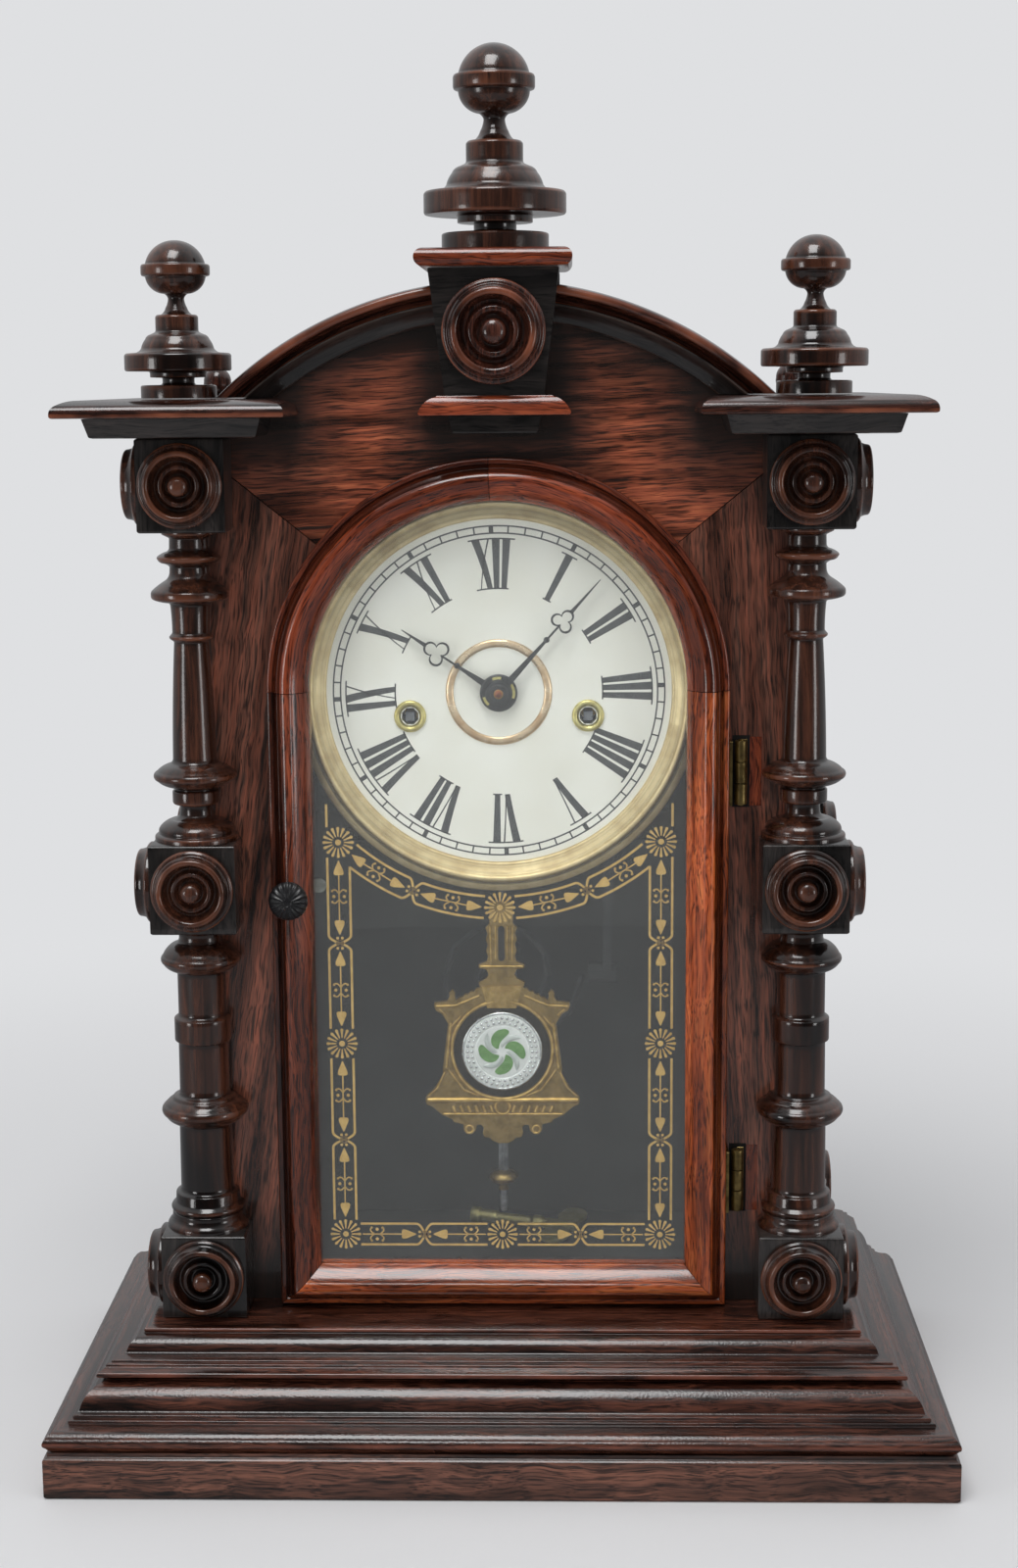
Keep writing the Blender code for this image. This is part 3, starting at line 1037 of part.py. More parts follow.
def build_trains():
    """Winding arbors with main wheels, mainsprings, escape wheel, verge with crutch, and the hammer."""
    wheel_front = FRONT_PLATE_BACK + 4 * GAP
    wheel_back = wheel_front + WHEEL_THICKNESS
    spring_front = wheel_back + 6 * GAP
    for word, place in winding_centres():
        name = f"{word}_main_wheel"
        arbor_y = (FRONT_PLATE_FRONT - RUN, BACK_PLATE_BACK)
        arbor = rod(name, WINDING_ARBOR, *arbor_y, place, ROUND_SIDES, "brass")
        square = rod("square", 0.9 * WINDING_ARBOR, DIAL_FRONT, FRONT_PLATE_FRONT, place, 4)
        shape = ((-0.3, 0.93), (0, 1.0), (0.3, 0.93))
        outline = toothed_outline(place, MAIN_WHEEL, MAIN_WHEEL_TEETH, shape)
        join(arbor, square, prism("wheel", outline, "y", wheel_front, wheel_back))
        set_origin(arbor, (place[0], 0, place[1]))
        strip = SPRING_STRIP / 2
        inner = WINDING_ARBOR + RUN + strip
        spring_back = spring_front + SPRING_WIDTH
        section = ((-strip, spring_front), (strip, spring_front), (strip, spring_back), (-strip, spring_back))
        rings = []
        for x, z, out_x, out_z in spiral(place, inner, SPRING_OUTER, SPRING_TURNS, SPRING_STEPS):
            rings.append([(x + out * out_x, y, z + out * out_z) for out, y in section])
        solid(f"{word}_mainspring", rings, "spring_steel")
        print(f"least gap in the {word} mainspring:", (SPRING_OUTER - inner) / SPRING_TURNS - SPRING_STRIP)
    middle = FRONT_PLATE_BACK + PLATE_SPACING / 2
    wheel_y = (middle, middle + WHEEL_THICKNESS)
    shape = ((0.0, 0.80), (0.10, 1.0), (0.45, 0.80))
    outline = toothed_outline((0, ESCAPE_Z), ESCAPE_RADIUS, ESCAPE_TEETH, shape)
    escape = prism("escape_wheel", outline, "y", *wheel_y, "brass")
    join(escape, rod("arbor", PIVOT_RADIUS, FRONT_PLATE_FRONT, BACK_PLATE_BACK, (0, ESCAPE_Z)))
    set_origin(escape, (0, 0, ESCAPE_Z))
    build_verge(wheel_y)
    build_hammer()


def build_verge(wheel_y):
    """Anchor over the escape wheel, its arbor, and the crutch that straddles the pendulum rod."""
    crutch_y = (FRONT_PLATE_FRONT - 6 * GAP, FRONT_PLATE_FRONT - 3 * GAP)
    axis = (0, VERGE_Z)
    verge = rod("verge", PIVOT_RADIUS, crutch_y[0], BACK_PLATE_BACK, axis, ROUND_SIDES, "spring_steel")
    reach = 0.86 * ESCAPE_RADIUS
    drop = 0.36 * (VERGE_Z - ESCAPE_Z)
    arm = [(0.1 * reach, 0.16 * reach), (reach, -0.35 * drop), (1.08 * reach, -1.28 * drop),
           (0.92 * reach, -1.22 * drop), (0.84 * reach, -0.62 * drop), (0.1 * reach, -0.30 * drop)]
    anchor = prism("anchor", mirrored([(x, VERGE_Z + z) for x, z in arm]), "y", *wheel_y)
    slot = ROD_RADIUS + RUN
    prong = slot + 2 * ROD_RADIUS
    foot = VERGE_Z - CRUTCH_LENGTH
    wire = box("wire", (-PIVOT_RADIUS, PIVOT_RADIUS), crutch_y, (foot, VERGE_Z))
    head = foot + 2 * PIVOT_RADIUS
    pieces = [anchor, wire, box("bridge", (-prong, prong), crutch_y, (foot, head))]
    prong_y = (ROD_Y - 2 * ROD_RADIUS, crutch_y[1] - GAP / 3)
    for side in (-1, 1):
        pieces.append(box("prong", sorted((side * slot, side * prong)), prong_y, (foot + GAP, head - GAP)))
    join(verge, *pieces)
    set_origin(verge, (0, 0, VERGE_Z))


def build_hammer():
    """Strike hammer: arbor between the plates, an arm behind them and a head beside the gong."""
    front = BACK_PLATE_BACK + 3 * GAP
    back = front + HAMMER_ARM_THICKNESS
    axis = (HAMMER_OUT, HAMMER_Z)
    hammer = rod("strike_hammer", PIVOT_RADIUS, FRONT_PLATE_FRONT, back, axis, ROUND_SIDES, "spring_steel")
    face = GONG_RADIUS + GONG_WIRE + HAMMER_REST_GAP
    tail = face + HAMMER_HEAD_LENGTH
    foot = GONG_Z + HAMMER_STRIKE_RISE
    eye = 2 * PIVOT_RADIUS
    outer = face + HAMMER_HEAD_LENGTH / 2 + HAMMER_ARM_WIDTH
    outline = [(HAMMER_OUT - eye, HAMMER_Z + eye), (HAMMER_OUT + eye, HAMMER_Z + eye),
               (outer, foot), (outer - HAMMER_ARM_WIDTH, foot)]
    arm = prism("arm", outline, "y", front, back - HAIR)
    profile = [(HAMMER_HEAD, face), (HAMMER_HEAD, tail)]
    head = turned("head", profile, "x", (0, front + HAMMER_HEAD, foot), ROUND_SIDES)
    join(hammer, arm, head)
    set_origin(hammer, (HAMMER_OUT, 0, HAMMER_Z))


def build_pendulum():
    """Rod on its suspension spring, stamped bob with a round glass, and the rating nut under the sleeve."""
    pivot = (0, ROD_Y, VERGE_Z)
    axis = (0, ROD_Y, 0)
    foot = FLOOR + ROD_FOOT_RISE
    top = VERGE_Z - 4 * PIVOT_RADIUS
    profile = [(ROD_RADIUS, foot), (ROD_RADIUS, top)]
    pendulum = turned("pendulum_rod", profile, "z", axis, ROUND_SIDES, "spring_steel")
    strip_y = (ROD_Y - SUSPENSION_THICKNESS / 2, ROD_Y + SUSPENSION_THICKNESS / 2)
    strip = box("strip", (-SUSPENSION_WIDTH / 2, SUSPENSION_WIDTH / 2), strip_y,
                (top - 3 * PIVOT_RADIUS, VERGE_Z + COCK_RISE - GAP))
    set_origin(join(pendulum, strip), pivot)
    half = BOB_WIDTH / 2
    glass_z = FLOOR + BOB_GLASS_RISE
    high = FLOOR + BOB_TOP_RISE
    low = FLOOR + BOB_FOOT_RISE
    eaves = glass_z + 1.45 * BOB_GLASS_RADIUS
    floor = glass_z - 1.20 * BOB_GLASS_RADIUS
    wall = eaves - floor
    gable = high - eaves
    skirt = floor - low
    side = [(0.10 * half, low), (0.52 * half, low + 0.28 * skirt), (half, floor),
            (0.84 * half, floor + 0.16 * wall), (0.72 * half, eaves - 0.30 * wall),
            (0.92 * half, eaves - 0.10 * wall), (0.80 * half, eaves),
            (0.34 * half, eaves + 0.14 * gable), (0.24 * half, eaves + 0.42 * gable),
            (0.26 * half, high - 0.12 * gable), (0.10 * half, high)]
    back = ROD_Y - ROD_RADIUS - 2 * GAP
    bob = prism("pendulum_bob", mirrored(side), "y", back - BOB_THICKNESS, back, "brass")
    nut_top = FLOOR + NUT_RISE
    bore = ROD_RADIUS + RUN / 2
    sleeve = tube("sleeve", bore, SLEEVE_RADIUS, (nut_top + GAP, low + 4 * SLEEVE_RADIUS), axis)
    set_origin(join(bob, sleeve), pivot)
    front = back - BOB_THICKNESS - GAP
    dome = [(0, front), (BOB_GLASS_RADIUS, front), (BOB_GLASS_RADIUS, front - 0.5 * BOB_GLASS_HEIGHT),
            (0.8 * BOB_GLASS_RADIUS, front - 0.8 * BOB_GLASS_HEIGHT), (0, front - BOB_GLASS_HEIGHT)]
    set_origin(turned("bob_glass", dome, "y", (0, 0, glass_z), SMALL_RING_SIDES, "bob_disc"), pivot)
    nut_foot = nut_top - NUT_HEIGHT
    waist = 0.2 * NUT_HEIGHT
    profile = [(NUT_RADIUS, nut_foot + waist), (NUT_RADIUS, nut_top - waist), (0.7 * NUT_RADIUS, nut_top),
               (bore, nut_top), (bore, nut_foot), (0.7 * NUT_RADIUS, nut_foot)]
    set_origin(turned("rating_nut", profile, "z", axis, ROUND_SIDES, "brass", hollow=True), pivot)


def build_gong_and_key():
    """Coiled gong on its post from the back board, and the winding key that lies on the case floor."""
    centre = (0, GONG_Z)
    post_y = (GONG_Y - 3 * GONG_WIRE, BACK_BOARD_FRONT - GAP)
    post = rod("gong", GONG_POST, *post_y, centre, ROUND_SIDES, "black_steel")
    wire = arc((0, 0), GONG_WIRE, 0, 360, WIRE_SIDES)[:-1]
    start = 0.6 * GONG_POST
    rings = []
    for x, z, out_x, out_z in spiral(centre, start, GONG_RADIUS, GONG_TURNS, GONG_STEPS):
        rings.append([(x + out * out_x, GONG_Y + forward, z + out * out_z) for out, forward in wire])
    join(post, solid("coil", rings))
    print("least gap in the gong:", (GONG_RADIUS - start) / GONG_TURNS - 2 * GONG_WIRE)
    key_y = BACK_BOARD_FRONT - KEY_FROM_BACK
    key_z = STAND + KEY_SHAFT
    end = KEY_SHAFT_LENGTH / 2
    bore = 1.2 * WINDING_ARBOR
    profile = [(0, end), (KEY_SHAFT, end), (KEY_SHAFT, -end), (bore, -end), (bore, -end / 3), (0, -end / 3)]
    key = turned("winding_key", profile, "x", (0, key_y, key_z), ROUND_SIDES, "brass")
    span = KEY_WING_SPAN / 2
    long = KEY_WING_LENGTH
    wing = [(end - SINK, 0.6 * KEY_SHAFT), (end + 0.4 * long, span), (end + 0.9 * long, span),
            (end + long, 0.7 * span), (end + 0.6 * long, 0)]
    outline = [(x, key_y + y) for x, y in wing + [(x, -y) for x, y in reversed(wing[:-1])]]
    half = KEY_WING_THICKNESS / 2
    join(key, prism("wing", outline, "z", key_z - half, key_z + half))


def build():
    """Clear the scene and build every piece."""
    for body in list(bpy.data.objects):
        bpy.data.objects.remove(body)
    build_base()
    build_case()
    build_roof()
    build_keystone()
    build_columns()
    build_cornices()
    build_finials()
    build_door()
    build_dial()
    build_motion()
    build_plates()
    build_trains()
    build_pendulum()
    build_gong_and_key()


build()
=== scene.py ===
"""Shelf clock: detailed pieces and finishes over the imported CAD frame. Metres; the front faces -Y."""

import math
from collections import namedtuple

import bpy
import numpy as np
from mathutils import Matrix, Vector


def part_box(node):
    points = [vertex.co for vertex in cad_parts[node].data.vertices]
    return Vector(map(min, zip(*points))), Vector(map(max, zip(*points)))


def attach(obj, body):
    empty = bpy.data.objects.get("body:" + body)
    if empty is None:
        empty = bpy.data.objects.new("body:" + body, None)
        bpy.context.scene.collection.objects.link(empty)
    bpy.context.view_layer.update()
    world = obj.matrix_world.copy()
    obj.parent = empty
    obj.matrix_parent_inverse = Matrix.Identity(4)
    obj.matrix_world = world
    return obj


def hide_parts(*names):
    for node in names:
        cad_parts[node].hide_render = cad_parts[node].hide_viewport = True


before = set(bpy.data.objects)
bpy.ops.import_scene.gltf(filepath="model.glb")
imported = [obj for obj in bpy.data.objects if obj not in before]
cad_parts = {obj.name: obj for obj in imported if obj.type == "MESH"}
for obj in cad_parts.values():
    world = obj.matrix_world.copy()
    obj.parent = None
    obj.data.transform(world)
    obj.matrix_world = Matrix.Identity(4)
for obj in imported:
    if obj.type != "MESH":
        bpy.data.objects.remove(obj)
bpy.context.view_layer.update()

MM = 0.001
EDGE_SOFTNESS = 0.35            # mm, rounding of every turned or moulded arris
ARRIS_TURN = 0.35               # radians, from which a corner of a profile counts as an arris
RIDGE_REACH = 0.9               # mm each side over which a profile's turn is summed for wear and for the painted shade in hollows
RUN_END = 1.3                   # mm from an arris to the next point of a long straight run
RIDGE_FULL = 1.3                # radians of turn that count as a full ridge
SHARP = 38                      # degrees, from which an edge is shaded sharp
ARC_STEPS = 24                  # most points of one arc of a profile
GRAIN_SHIFT = (0.173, 0.311, 0.237)  # m, from piece to piece, so that no two have the same grain
UP, FORWARD = (0, 0, 1), (0, -1, 0)
SIDES = (("left", -1), ("right", 1))
ALL_ROUND = ((1, 1), (-1, 1), (-1, -1), (1, -1))  # inward ways of a rectangle's corners
FLUSH_REAR = ((1, 1), (-1, 1), (-1, 0), (1, 0))   # the same with the rear kept flush
UNMITRED = ((0, 0),) * 4        # the same for a block whose sides stay upright

Shape = namedtuple("Shape", "points quads ends grain ridge")


# Colours and nodes


def linear(code):
    """An sRGB hex colour as linear RGBA."""
    part = np.array([int(code[i:i + 2], 16) for i in (1, 3, 5)]) / 255
    return (*np.where(part <= 0.04045, part / 12.92, ((part + 0.055) / 1.055) ** 2.4).tolist(), 1.0)


def node(tree, kind, inputs=(), stops=(), out=0, **settings):
    """Adds a node with its settings, ramp stops, and inputs that are values or sockets; gives one output."""
    made = tree.nodes.new("ShaderNode" + kind)
    for key, value in settings.items():
        setattr(made, key, value)
    for place, (where, code) in enumerate(stops):
        ramp = made.color_ramp.elements
        stop = ramp[place] if place < 2 else ramp.new(where)
        stop.position = where
        stop.color = linear(code)
    for key, value in dict(inputs).items():
        if isinstance(value, bpy.types.NodeSocket):
            tree.links.new(value, made.inputs[key])
        else:
            made.inputs[key].default_value = value
    return made.outputs[out]


def finish(name, slot=""):
    """A new material, its node tree and its shader, with the record's slot; the stage has none."""
    material = bpy.data.materials.new(name)
    material.use_nodes = True
    material["slot"] = slot
    return material, material.node_tree, material.node_tree.nodes["Principled BSDF"]


# Surfaces


def profile(*stations, softness=EDGE_SOFTNESS, step=0.5):
    """An outline in mm through stations (a, b) or (a, b, bulge), with its arrises softened.

    The bulge is the tangent of a quarter of the arc's angle, positive where the arc lies to the right of
    the way walked. Each sharp corner becomes three points of a small quadratic curve.
    """
    line = [np.array(stations[0][:2], float)]
    for a, b, *bulge in stations[1:]:
        start = line[-1]
        end = np.array((a, b), float)
        if bulge and abs(bulge[0]) > 1e-6:
            half = 2 * math.atan(bulge[0])
            chord = end - start
            across = np.array((chord[1], -chord[0]))
            middle = (start + end) / 2 - across / (2 * math.tan(half))
            radius = start - middle
            count = max(3, int(np.linalg.norm(radius) * abs(2 * half) / step) + 1)
            turn = np.linspace(0, 2 * half, min(count, ARC_STEPS) + 1)[1:]
            c, s = np.cos(turn), np.sin(turn)
            arc = middle + np.stack([c * radius[0] - s * radius[1], s * radius[0] + c * radius[1]], 1)
            line += list(arc)
        else:
            line.append(end)
    line = np.array(line)
    before = line[1:-1] - line[:-2]
    after = line[2:] - line[1:-1]
    cross = before[:, 0] * after[:, 1] - before[:, 1] * after[:, 0]
    turn = np.abs(np.arctan2(cross, (before * after).sum(1)))
    soft = []
    for k, corner in enumerate(line):
        if 0 < k < len(line) - 1 and turn[k - 1] > ARRIS_TURN and softness > 0:
            reach = [line[k - 1] - corner, line[k + 1] - corner]
            near = [corner + v * min(softness / np.linalg.norm(v), 0.4) for v in reach]
            soft += [near[0], corner / 2 + (near[0] + near[1]) / 4, near[1]]
        else:
            soft.append(corner)
    return np.concatenate([[soft[0]], *map(filled, soft[:-1], soft[1:])])


def section(*stations, **more):
    """A moulding's outline: stations (inset, z[, bulge]) as (out, z), so that outwards lies to the right."""
    return profile(*((-inset, *rest) for inset, *rest in stations), **more)


def filled(start, end):
    """The end of a run, and on a long one a point near each end, so that wear stays at the arrises and the
    painted shade at the hollows.
    """
    long = np.linalg.norm(end - start)
    share = np.array((RUN_END / long, 1 - RUN_END / long, 1.0) if long > 3 * RUN_END else (1.0,))
    return start + share[:, None] * (end - start)


def ridges(line):
    """How much of a ridge each point of an outline is, -1 (hollow) to 1: its left turn over a reach."""
    way = np.diff(line, axis=0)
    length = np.maximum(np.linalg.norm(way, axis=1), 1e-9)
    cross = way[:-1, 0] * way[1:, 1] - way[:-1, 1] * way[1:, 0]
    turn = np.arctan2(cross, (way[:-1] * way[1:]).sum(1))
    run = np.concatenate([[0], np.cumsum(length)])
    total = np.concatenate([[0], np.cumsum(turn), [turn.sum()]])
    after = np.interp(run + RIDGE_REACH, run, total)
    before = np.interp(run - RIDGE_REACH, run, np.concatenate([[0], total[:-1]]))
    return np.clip((after - before) / RIDGE_FULL, -1, 1)


def surface(points, ridge=0.0, grain=UP, wrap_rows=False, wrap_cols=False, caps=False, facing=None):
    """Quads over a grid of points (rows, columns, 3), turned to look outwards or towards facing.

    grain is one direction of the wood, one for each column, or the wood's own coordinates of each point.
    Outwards is where the signed volume, the sum of a . (b x c) over the triangles, is positive.
    """
    rows, cols = points.shape[:2]
    flat = points.reshape(-1, 3)
    i = np.arange(rows if wrap_rows else rows - 1)[:, None]
    j = np.arange(cols if wrap_cols else cols - 1)[None, :]
    here, there = i * cols, (i + 1) % rows * cols
    beside = (j + 1) % cols
    quads = np.stack([here + j, here + beside, there + beside, there + j], -1).reshape(-1, 4)
    ends = [np.arange(cols)[::-1], np.arange(cols) + (rows - 1) * cols] if caps else []
    a, b, c, d = flat[quads].transpose(1, 0, 2)
    if facing is None:
        fans = [np.stack([np.full(len(e) - 2, e[0]), e[1:-1], e[2:]], -1) for e in ends]
        whole = np.concatenate([quads[:, [0, 1, 2]], quads[:, [0, 2, 3]], *fans])
        p, q, r = flat[whole].transpose(1, 0, 2)
        outwards = (p * np.cross(q, r)).sum() > 0
    else:
        outwards = np.cross(c - a, d - b).sum(0) @ np.array(facing) > 0
    grain = np.asarray(grain, float)
    segment = np.arange(len(quads)) % j.size
    if not outwards:
        quads = quads[:, ::-1]
        ends = [e[::-1] for e in ends]
    corners = np.concatenate([quads.ravel(), *ends]).astype(int)
    if grain.shape == points.shape:
        own = grain.reshape(-1, 3)[corners]
    else:
        way = np.broadcast_to(grain, (max(len(grain), 1) if grain.ndim == 2 else 1, 3))
        spare = len(corners) - quads.size
        way = np.concatenate([np.repeat(way[segment % len(way)], 4, 0), np.repeat(way[:1], spare, 0)])
        upright = np.where(np.abs(way[:, 2:]) > 0.9, [[1.0, 0, 0]], [[0, 0, 1.0]])
        across = np.cross(upright, way)
        across /= np.linalg.norm(across, axis=1, keepdims=True)
        place = flat[corners]
        own = np.stack([(place * v).sum(1) for v in (way, across, np.cross(way, across))], 1)
    ridge = np.reshape(ridge, (-1, 1)) if np.ndim(ridge) else ridge
    marked = np.broadcast_to(np.asarray(ridge, float), (rows, cols))
    return Shape(flat, quads, ends, own, marked.reshape(-1))


def turned(line, centre, axis=UP, sides=56, grain=None, keep=None, ring=False):
    """A profile (radius, height) in mm spun about an axis through centre: c + h k + r (cos t i + sin t j).

    keep is a function that trims the points, such as a notch round the case's corner. A ring's section
    closes on itself; otherwise both ends are capped.
    """
    k = np.array(axis, float)
    i = np.array((0.0, 0, 1)) if abs(k[2]) < 0.9 else np.array((1.0, 0, 0))
    j = np.cross(k, i)
    turn = np.linspace(0, 2 * np.pi, sides, endpoint=False)
    radius = np.maximum(line[:, :1], 0.02) * MM
    spread = np.cos(turn)[None, :, None] * i + np.sin(turn)[None, :, None] * j
    points = np.array(centre) + line[:, 1][:, None, None] * MM * k + radius[:, :, None] * spread
    if keep:
        points = keep(points)
    wood = k if grain is None else grain
    return surface(points, ridges(line), wood, wrap_rows=ring, wrap_cols=True, caps=not ring)


def moulded(levels, corner, inward, grain=None):
    """A section (out, z) in mm carried round a plan, mitred: each corner moves along its own inward way.

    The grain follows each side, unless one direction is given.
    """
    corner, inward = np.array(corner, float), np.array(inward, float)
    plan = corner - levels[:, :1, None] * MM * inward
    high = np.broadcast_to(levels[:, 1:2] * MM, plan.shape[:2])
    if grain is None:
        way = np.roll(corner, -1, 0) - corner
        way /= np.linalg.norm(way, axis=1, keepdims=True)
        grain = np.concatenate([way, np.zeros((len(way), 1))], 1)
    points = np.concatenate([plan, high[..., None]], -1)
    return surface(points, ridges(levels), grain, wrap_cols=True, caps=True)


def arched(line, centre_z, start, end, ends_z=None, steps=96):
    """A section (radius, y) in mm carried round an arch about (0, centre_z), from angle start to end.

    Angles are from the crown. With ends_z each point's own angles run to that height: the ends are level.
    """
    radius, depth = line[:, 0] * MM, line[:, 1] * MM
    share = np.linspace(0, 1, steps)[None, :]
    lo, hi = np.full_like(radius, start), np.full_like(radius, end)
    if ends_z is not None:
        level = np.arccos(np.clip((ends_z - centre_z) / radius, -1, 1))
        lo = -level if start < 0 else lo
        hi = level if end > 0 else hi
    turn = lo[:, None] + (hi - lo)[:, None] * share
    wide = np.broadcast_to(radius[:, None], turn.shape)
    deep = np.broadcast_to(depth[:, None], turn.shape)
    points = np.stack([wide * np.sin(turn), deep, centre_z + wide * np.cos(turn)], -1)
    wood = np.stack([turn * radius.mean(), wide, deep], -1)
    loop = surface(points.transpose(1, 0, 2), 0.0, wood.transpose(1, 0, 2), wrap_cols=True, caps=True)
    closed = np.concatenate([line, line[:1]])
    return loop._replace(ridge=np.tile(-ridges(closed)[:-1], steps))


def make(name, shapes, material, body, *nodes, sharp=SHARP):
    """One piece from its shapes, with the wood's coordinates and the ridges kept as attributes."""
    starts = np.cumsum([0] + [len(s.points) for s in shapes])
    faces = []
    for s, start in zip(shapes, starts):
        faces += (s.quads + start).tolist() + [(e + start).tolist() for e in s.ends]
    mesh = bpy.data.meshes.new(name)
    mesh.from_pydata(np.concatenate([s.points for s in shapes]).tolist(), [], faces)
    shift = len(bpy.data.meshes) * np.array(GRAIN_SHIFT)
    own = np.concatenate([s.grain for s in shapes]) + shift
    mesh.attributes.new("grain", "FLOAT_VECTOR", "CORNER").data.foreach_set("vector", own.ravel())
    # the ridge attribute: wear where it is positive, painted shade (with old finish in hollows) where it is
    # negative
    marked = np.concatenate([s.ridge for s in shapes])
    mesh.attributes.new("ridge", "FLOAT", "POINT").data.foreach_set("value", marked)
    mesh.materials.append(material)
    mesh.shade_smooth()
    mesh.set_sharp_from_angle(angle=math.radians(sharp))
    piece = bpy.data.objects.new(name, mesh)
    bpy.context.scene.collection.objects.link(piece)
    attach(piece, body)
    if nodes:
        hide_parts(*nodes)


def at(x, y, z):
    """A place given in mm."""
    return np.array((x, y, z)) * MM


def extent(name):
    """The lowest and the highest corner of a CAD node's box, in mm."""
    return (np.array(corner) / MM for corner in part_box(name))


def rectangle(left, front, right, rear):
    """The corners of a plan given in mm."""
    return np.array(((left, front), (right, front), (right, rear), (left, rear))) * MM


def prism(rows):
    """Closed loops of points in mm, one row after the other, capped at both ends."""
    return surface(np.array(rows) * MM, 0.0, UP, wrap_cols=True, caps=True)


# Finishes


def shellacked(name, slot, dark, mid, light, edge, streak, gloss, ripple, board=None, length=26,
               cloudy="#707070", ground=0.50, bend=3.2, pore=0.8, shade_and_old_finish="#0d0807", shade_and_old_finish_most=0.8):
    """Shellac over straight-grained wood.

    The eye sees dark streaks of the grain's width, broad cloudy figure, fine pores, edges rubbed to a
    redder tone, hollows painted dark (painted shade, with old finish built up in them), and a hard clear
    gloss with a faint ripple. Painted shade laid on a piece as a negative ridge is painted dark the same
    way.

    streak is the grain's width in mm, length how many times as long a streak is, and bend how far it sways
    in its own widths. ripple is the gloss's ripple in mm. ground is where the noise turns from dark streaks
    to the mid tone: lower gives thinner streaks. cloudy is the darkest of the figure. pore is how strongly
    the pores show. polish is the colour painted into hollows, painted shade with old finish built up there,
    and shade_and_old_finish_most the most of it there is. board is the direction of the grain of a plain CAD
    board, which has no coordinates of its own.
    """
    material, tree, shader = finish(name, slot)
    if board is None:
        wood = node(tree, "Attribute", attribute_name="grain", out="Vector")
    else:
        place = node(tree, "TexCoord", out="Object")
        wood = node(tree, "Mapping", {"Vector": place, "Rotation": board})
    wide = 1 / (streak * MM)
    sway = node(tree, "TexNoise", {"Vector": wood, "Scale": wide / 14, "Detail": 1.0}, out="Color")
    bent = node(tree, "VectorMath", {0: sway, 1: (0.0, streak * bend * MM, streak * bend * MM)},
                operation="MULTIPLY")
    lie = node(tree, "VectorMath", {0: wood, 1: bent}, operation="ADD")
    long = node(tree, "Mapping", {"Vector": lie, "Scale": (wide / length, wide, wide)})
    streaks = node(tree, "TexNoise", {"Vector": long, "Scale": 1.0, "Detail": 5.0, "Roughness": 0.62,
                                      "Distortion": 0.35})
    tone = node(tree, "ValToRGB", {"Fac": streaks},
                stops=((0.34, dark), (0.68, light), (ground, mid)))
    broad = (wide / length / 2, wide / 6, wide / 6)
    broad = node(tree, "Mapping", {"Vector": lie, "Scale": broad})
    cloud = node(tree, "TexNoise", {"Vector": broad, "Scale": 1.0, "Detail": 2.0})
    shade = node(tree, "ValToRGB", {"Fac": cloud}, stops=((0.34, cloudy), (0.60, "#ffffff")))
    figured = node(tree, "Mix", {0: 1.0, 6: tone, 7: shade}, data_type="RGBA",
                   blend_type="MULTIPLY", out=2)
    # pores are 0.1 mm wide; drawn 0.45 mm wide and 9 mm long so that they show
    fine = (1 / (9 * MM), 1 / (0.45 * MM), 1 / (0.45 * MM))
    fine = node(tree, "Mapping", {"Vector": lie, "Scale": fine})
    pores = node(tree, "TexNoise", {"Vector": fine, "Scale": 1.0, "Detail": 1.0})
    pitted = node(tree, "ValToRGB", {"Fac": pores}, stops=((0.34, "#4c4c4c"), (0.50, "#ffffff")))
    grained = node(tree, "Mix", {0: pore, 6: figured, 7: pitted}, data_type="RGBA",
                   blend_type="MULTIPLY", out=2)
    ridge = node(tree, "Attribute", attribute_name="ridge", out="Fac")
    patch = node(tree, "TexNoise", {"Vector": wood, "Scale": 1 / (21 * MM), "Detail": 3.0})
    rubbed = node(tree, "Math", {0: ridge, 1: patch}, operation="MULTIPLY")
    bare = node(tree, "MapRange", {0: rubbed, 1: 0.40, 2: 0.66, 3: 0.0, 4: 0.8})
    marked = node(tree, "Mix", {0: bare, 6: grained, 7: linear(edge)}, data_type="RGBA", out=2)
    # painted shade: where the ridge is negative the wood is painted dark, in hollows and where shade is laid
    # on a piece; in hollows this stands also for old finish built up there
    hollow = node(tree, "MapRange", {0: ridge, 1: -0.15, 2: -1.0, 3: 0.0, 4: shade_and_old_finish_most})
    hollow_shaded = node(tree, "Mix", {0: hollow, 6: marked, 7: linear(shade_and_old_finish)}, data_type="RGBA", out=2)
    tree.links.new(hollow_shaded, shader.inputs["Base Color"])
    dull = node(tree, "MapRange", {0: cloud, 1: 0.3, 2: 0.7, 3: gloss, 4: gloss + 0.12})
    tree.links.new(dull, shader.inputs["Roughness"])
    shader.inputs["IOR"].default_value = 1.52
    shader.inputs["Coat Weight"].default_value = 0.6
    shader.inputs["Coat Roughness"].default_value = 0.06
    # old shellac draws up into a ripple about 0.8 mm across
    place = node(tree, "TexCoord", out="Object")
    wave = node(tree, "TexNoise", {"Vector": place, "Scale": 1 / (0.8 * MM), "Detail": 2.0})
    skin = node(tree, "Bump", {"Height": wave, "Strength": 1.0, "Distance": ripple * MM})
    grain = node(tree, "Bump", {"Height": pores, "Strength": 0.12, "Distance": 0.2 * MM,
                                "Normal": skin})
    tree.links.new(grain, shader.inputs["Normal"])
    tree.links.new(skin, shader.inputs["Coat Normal"])
    return material


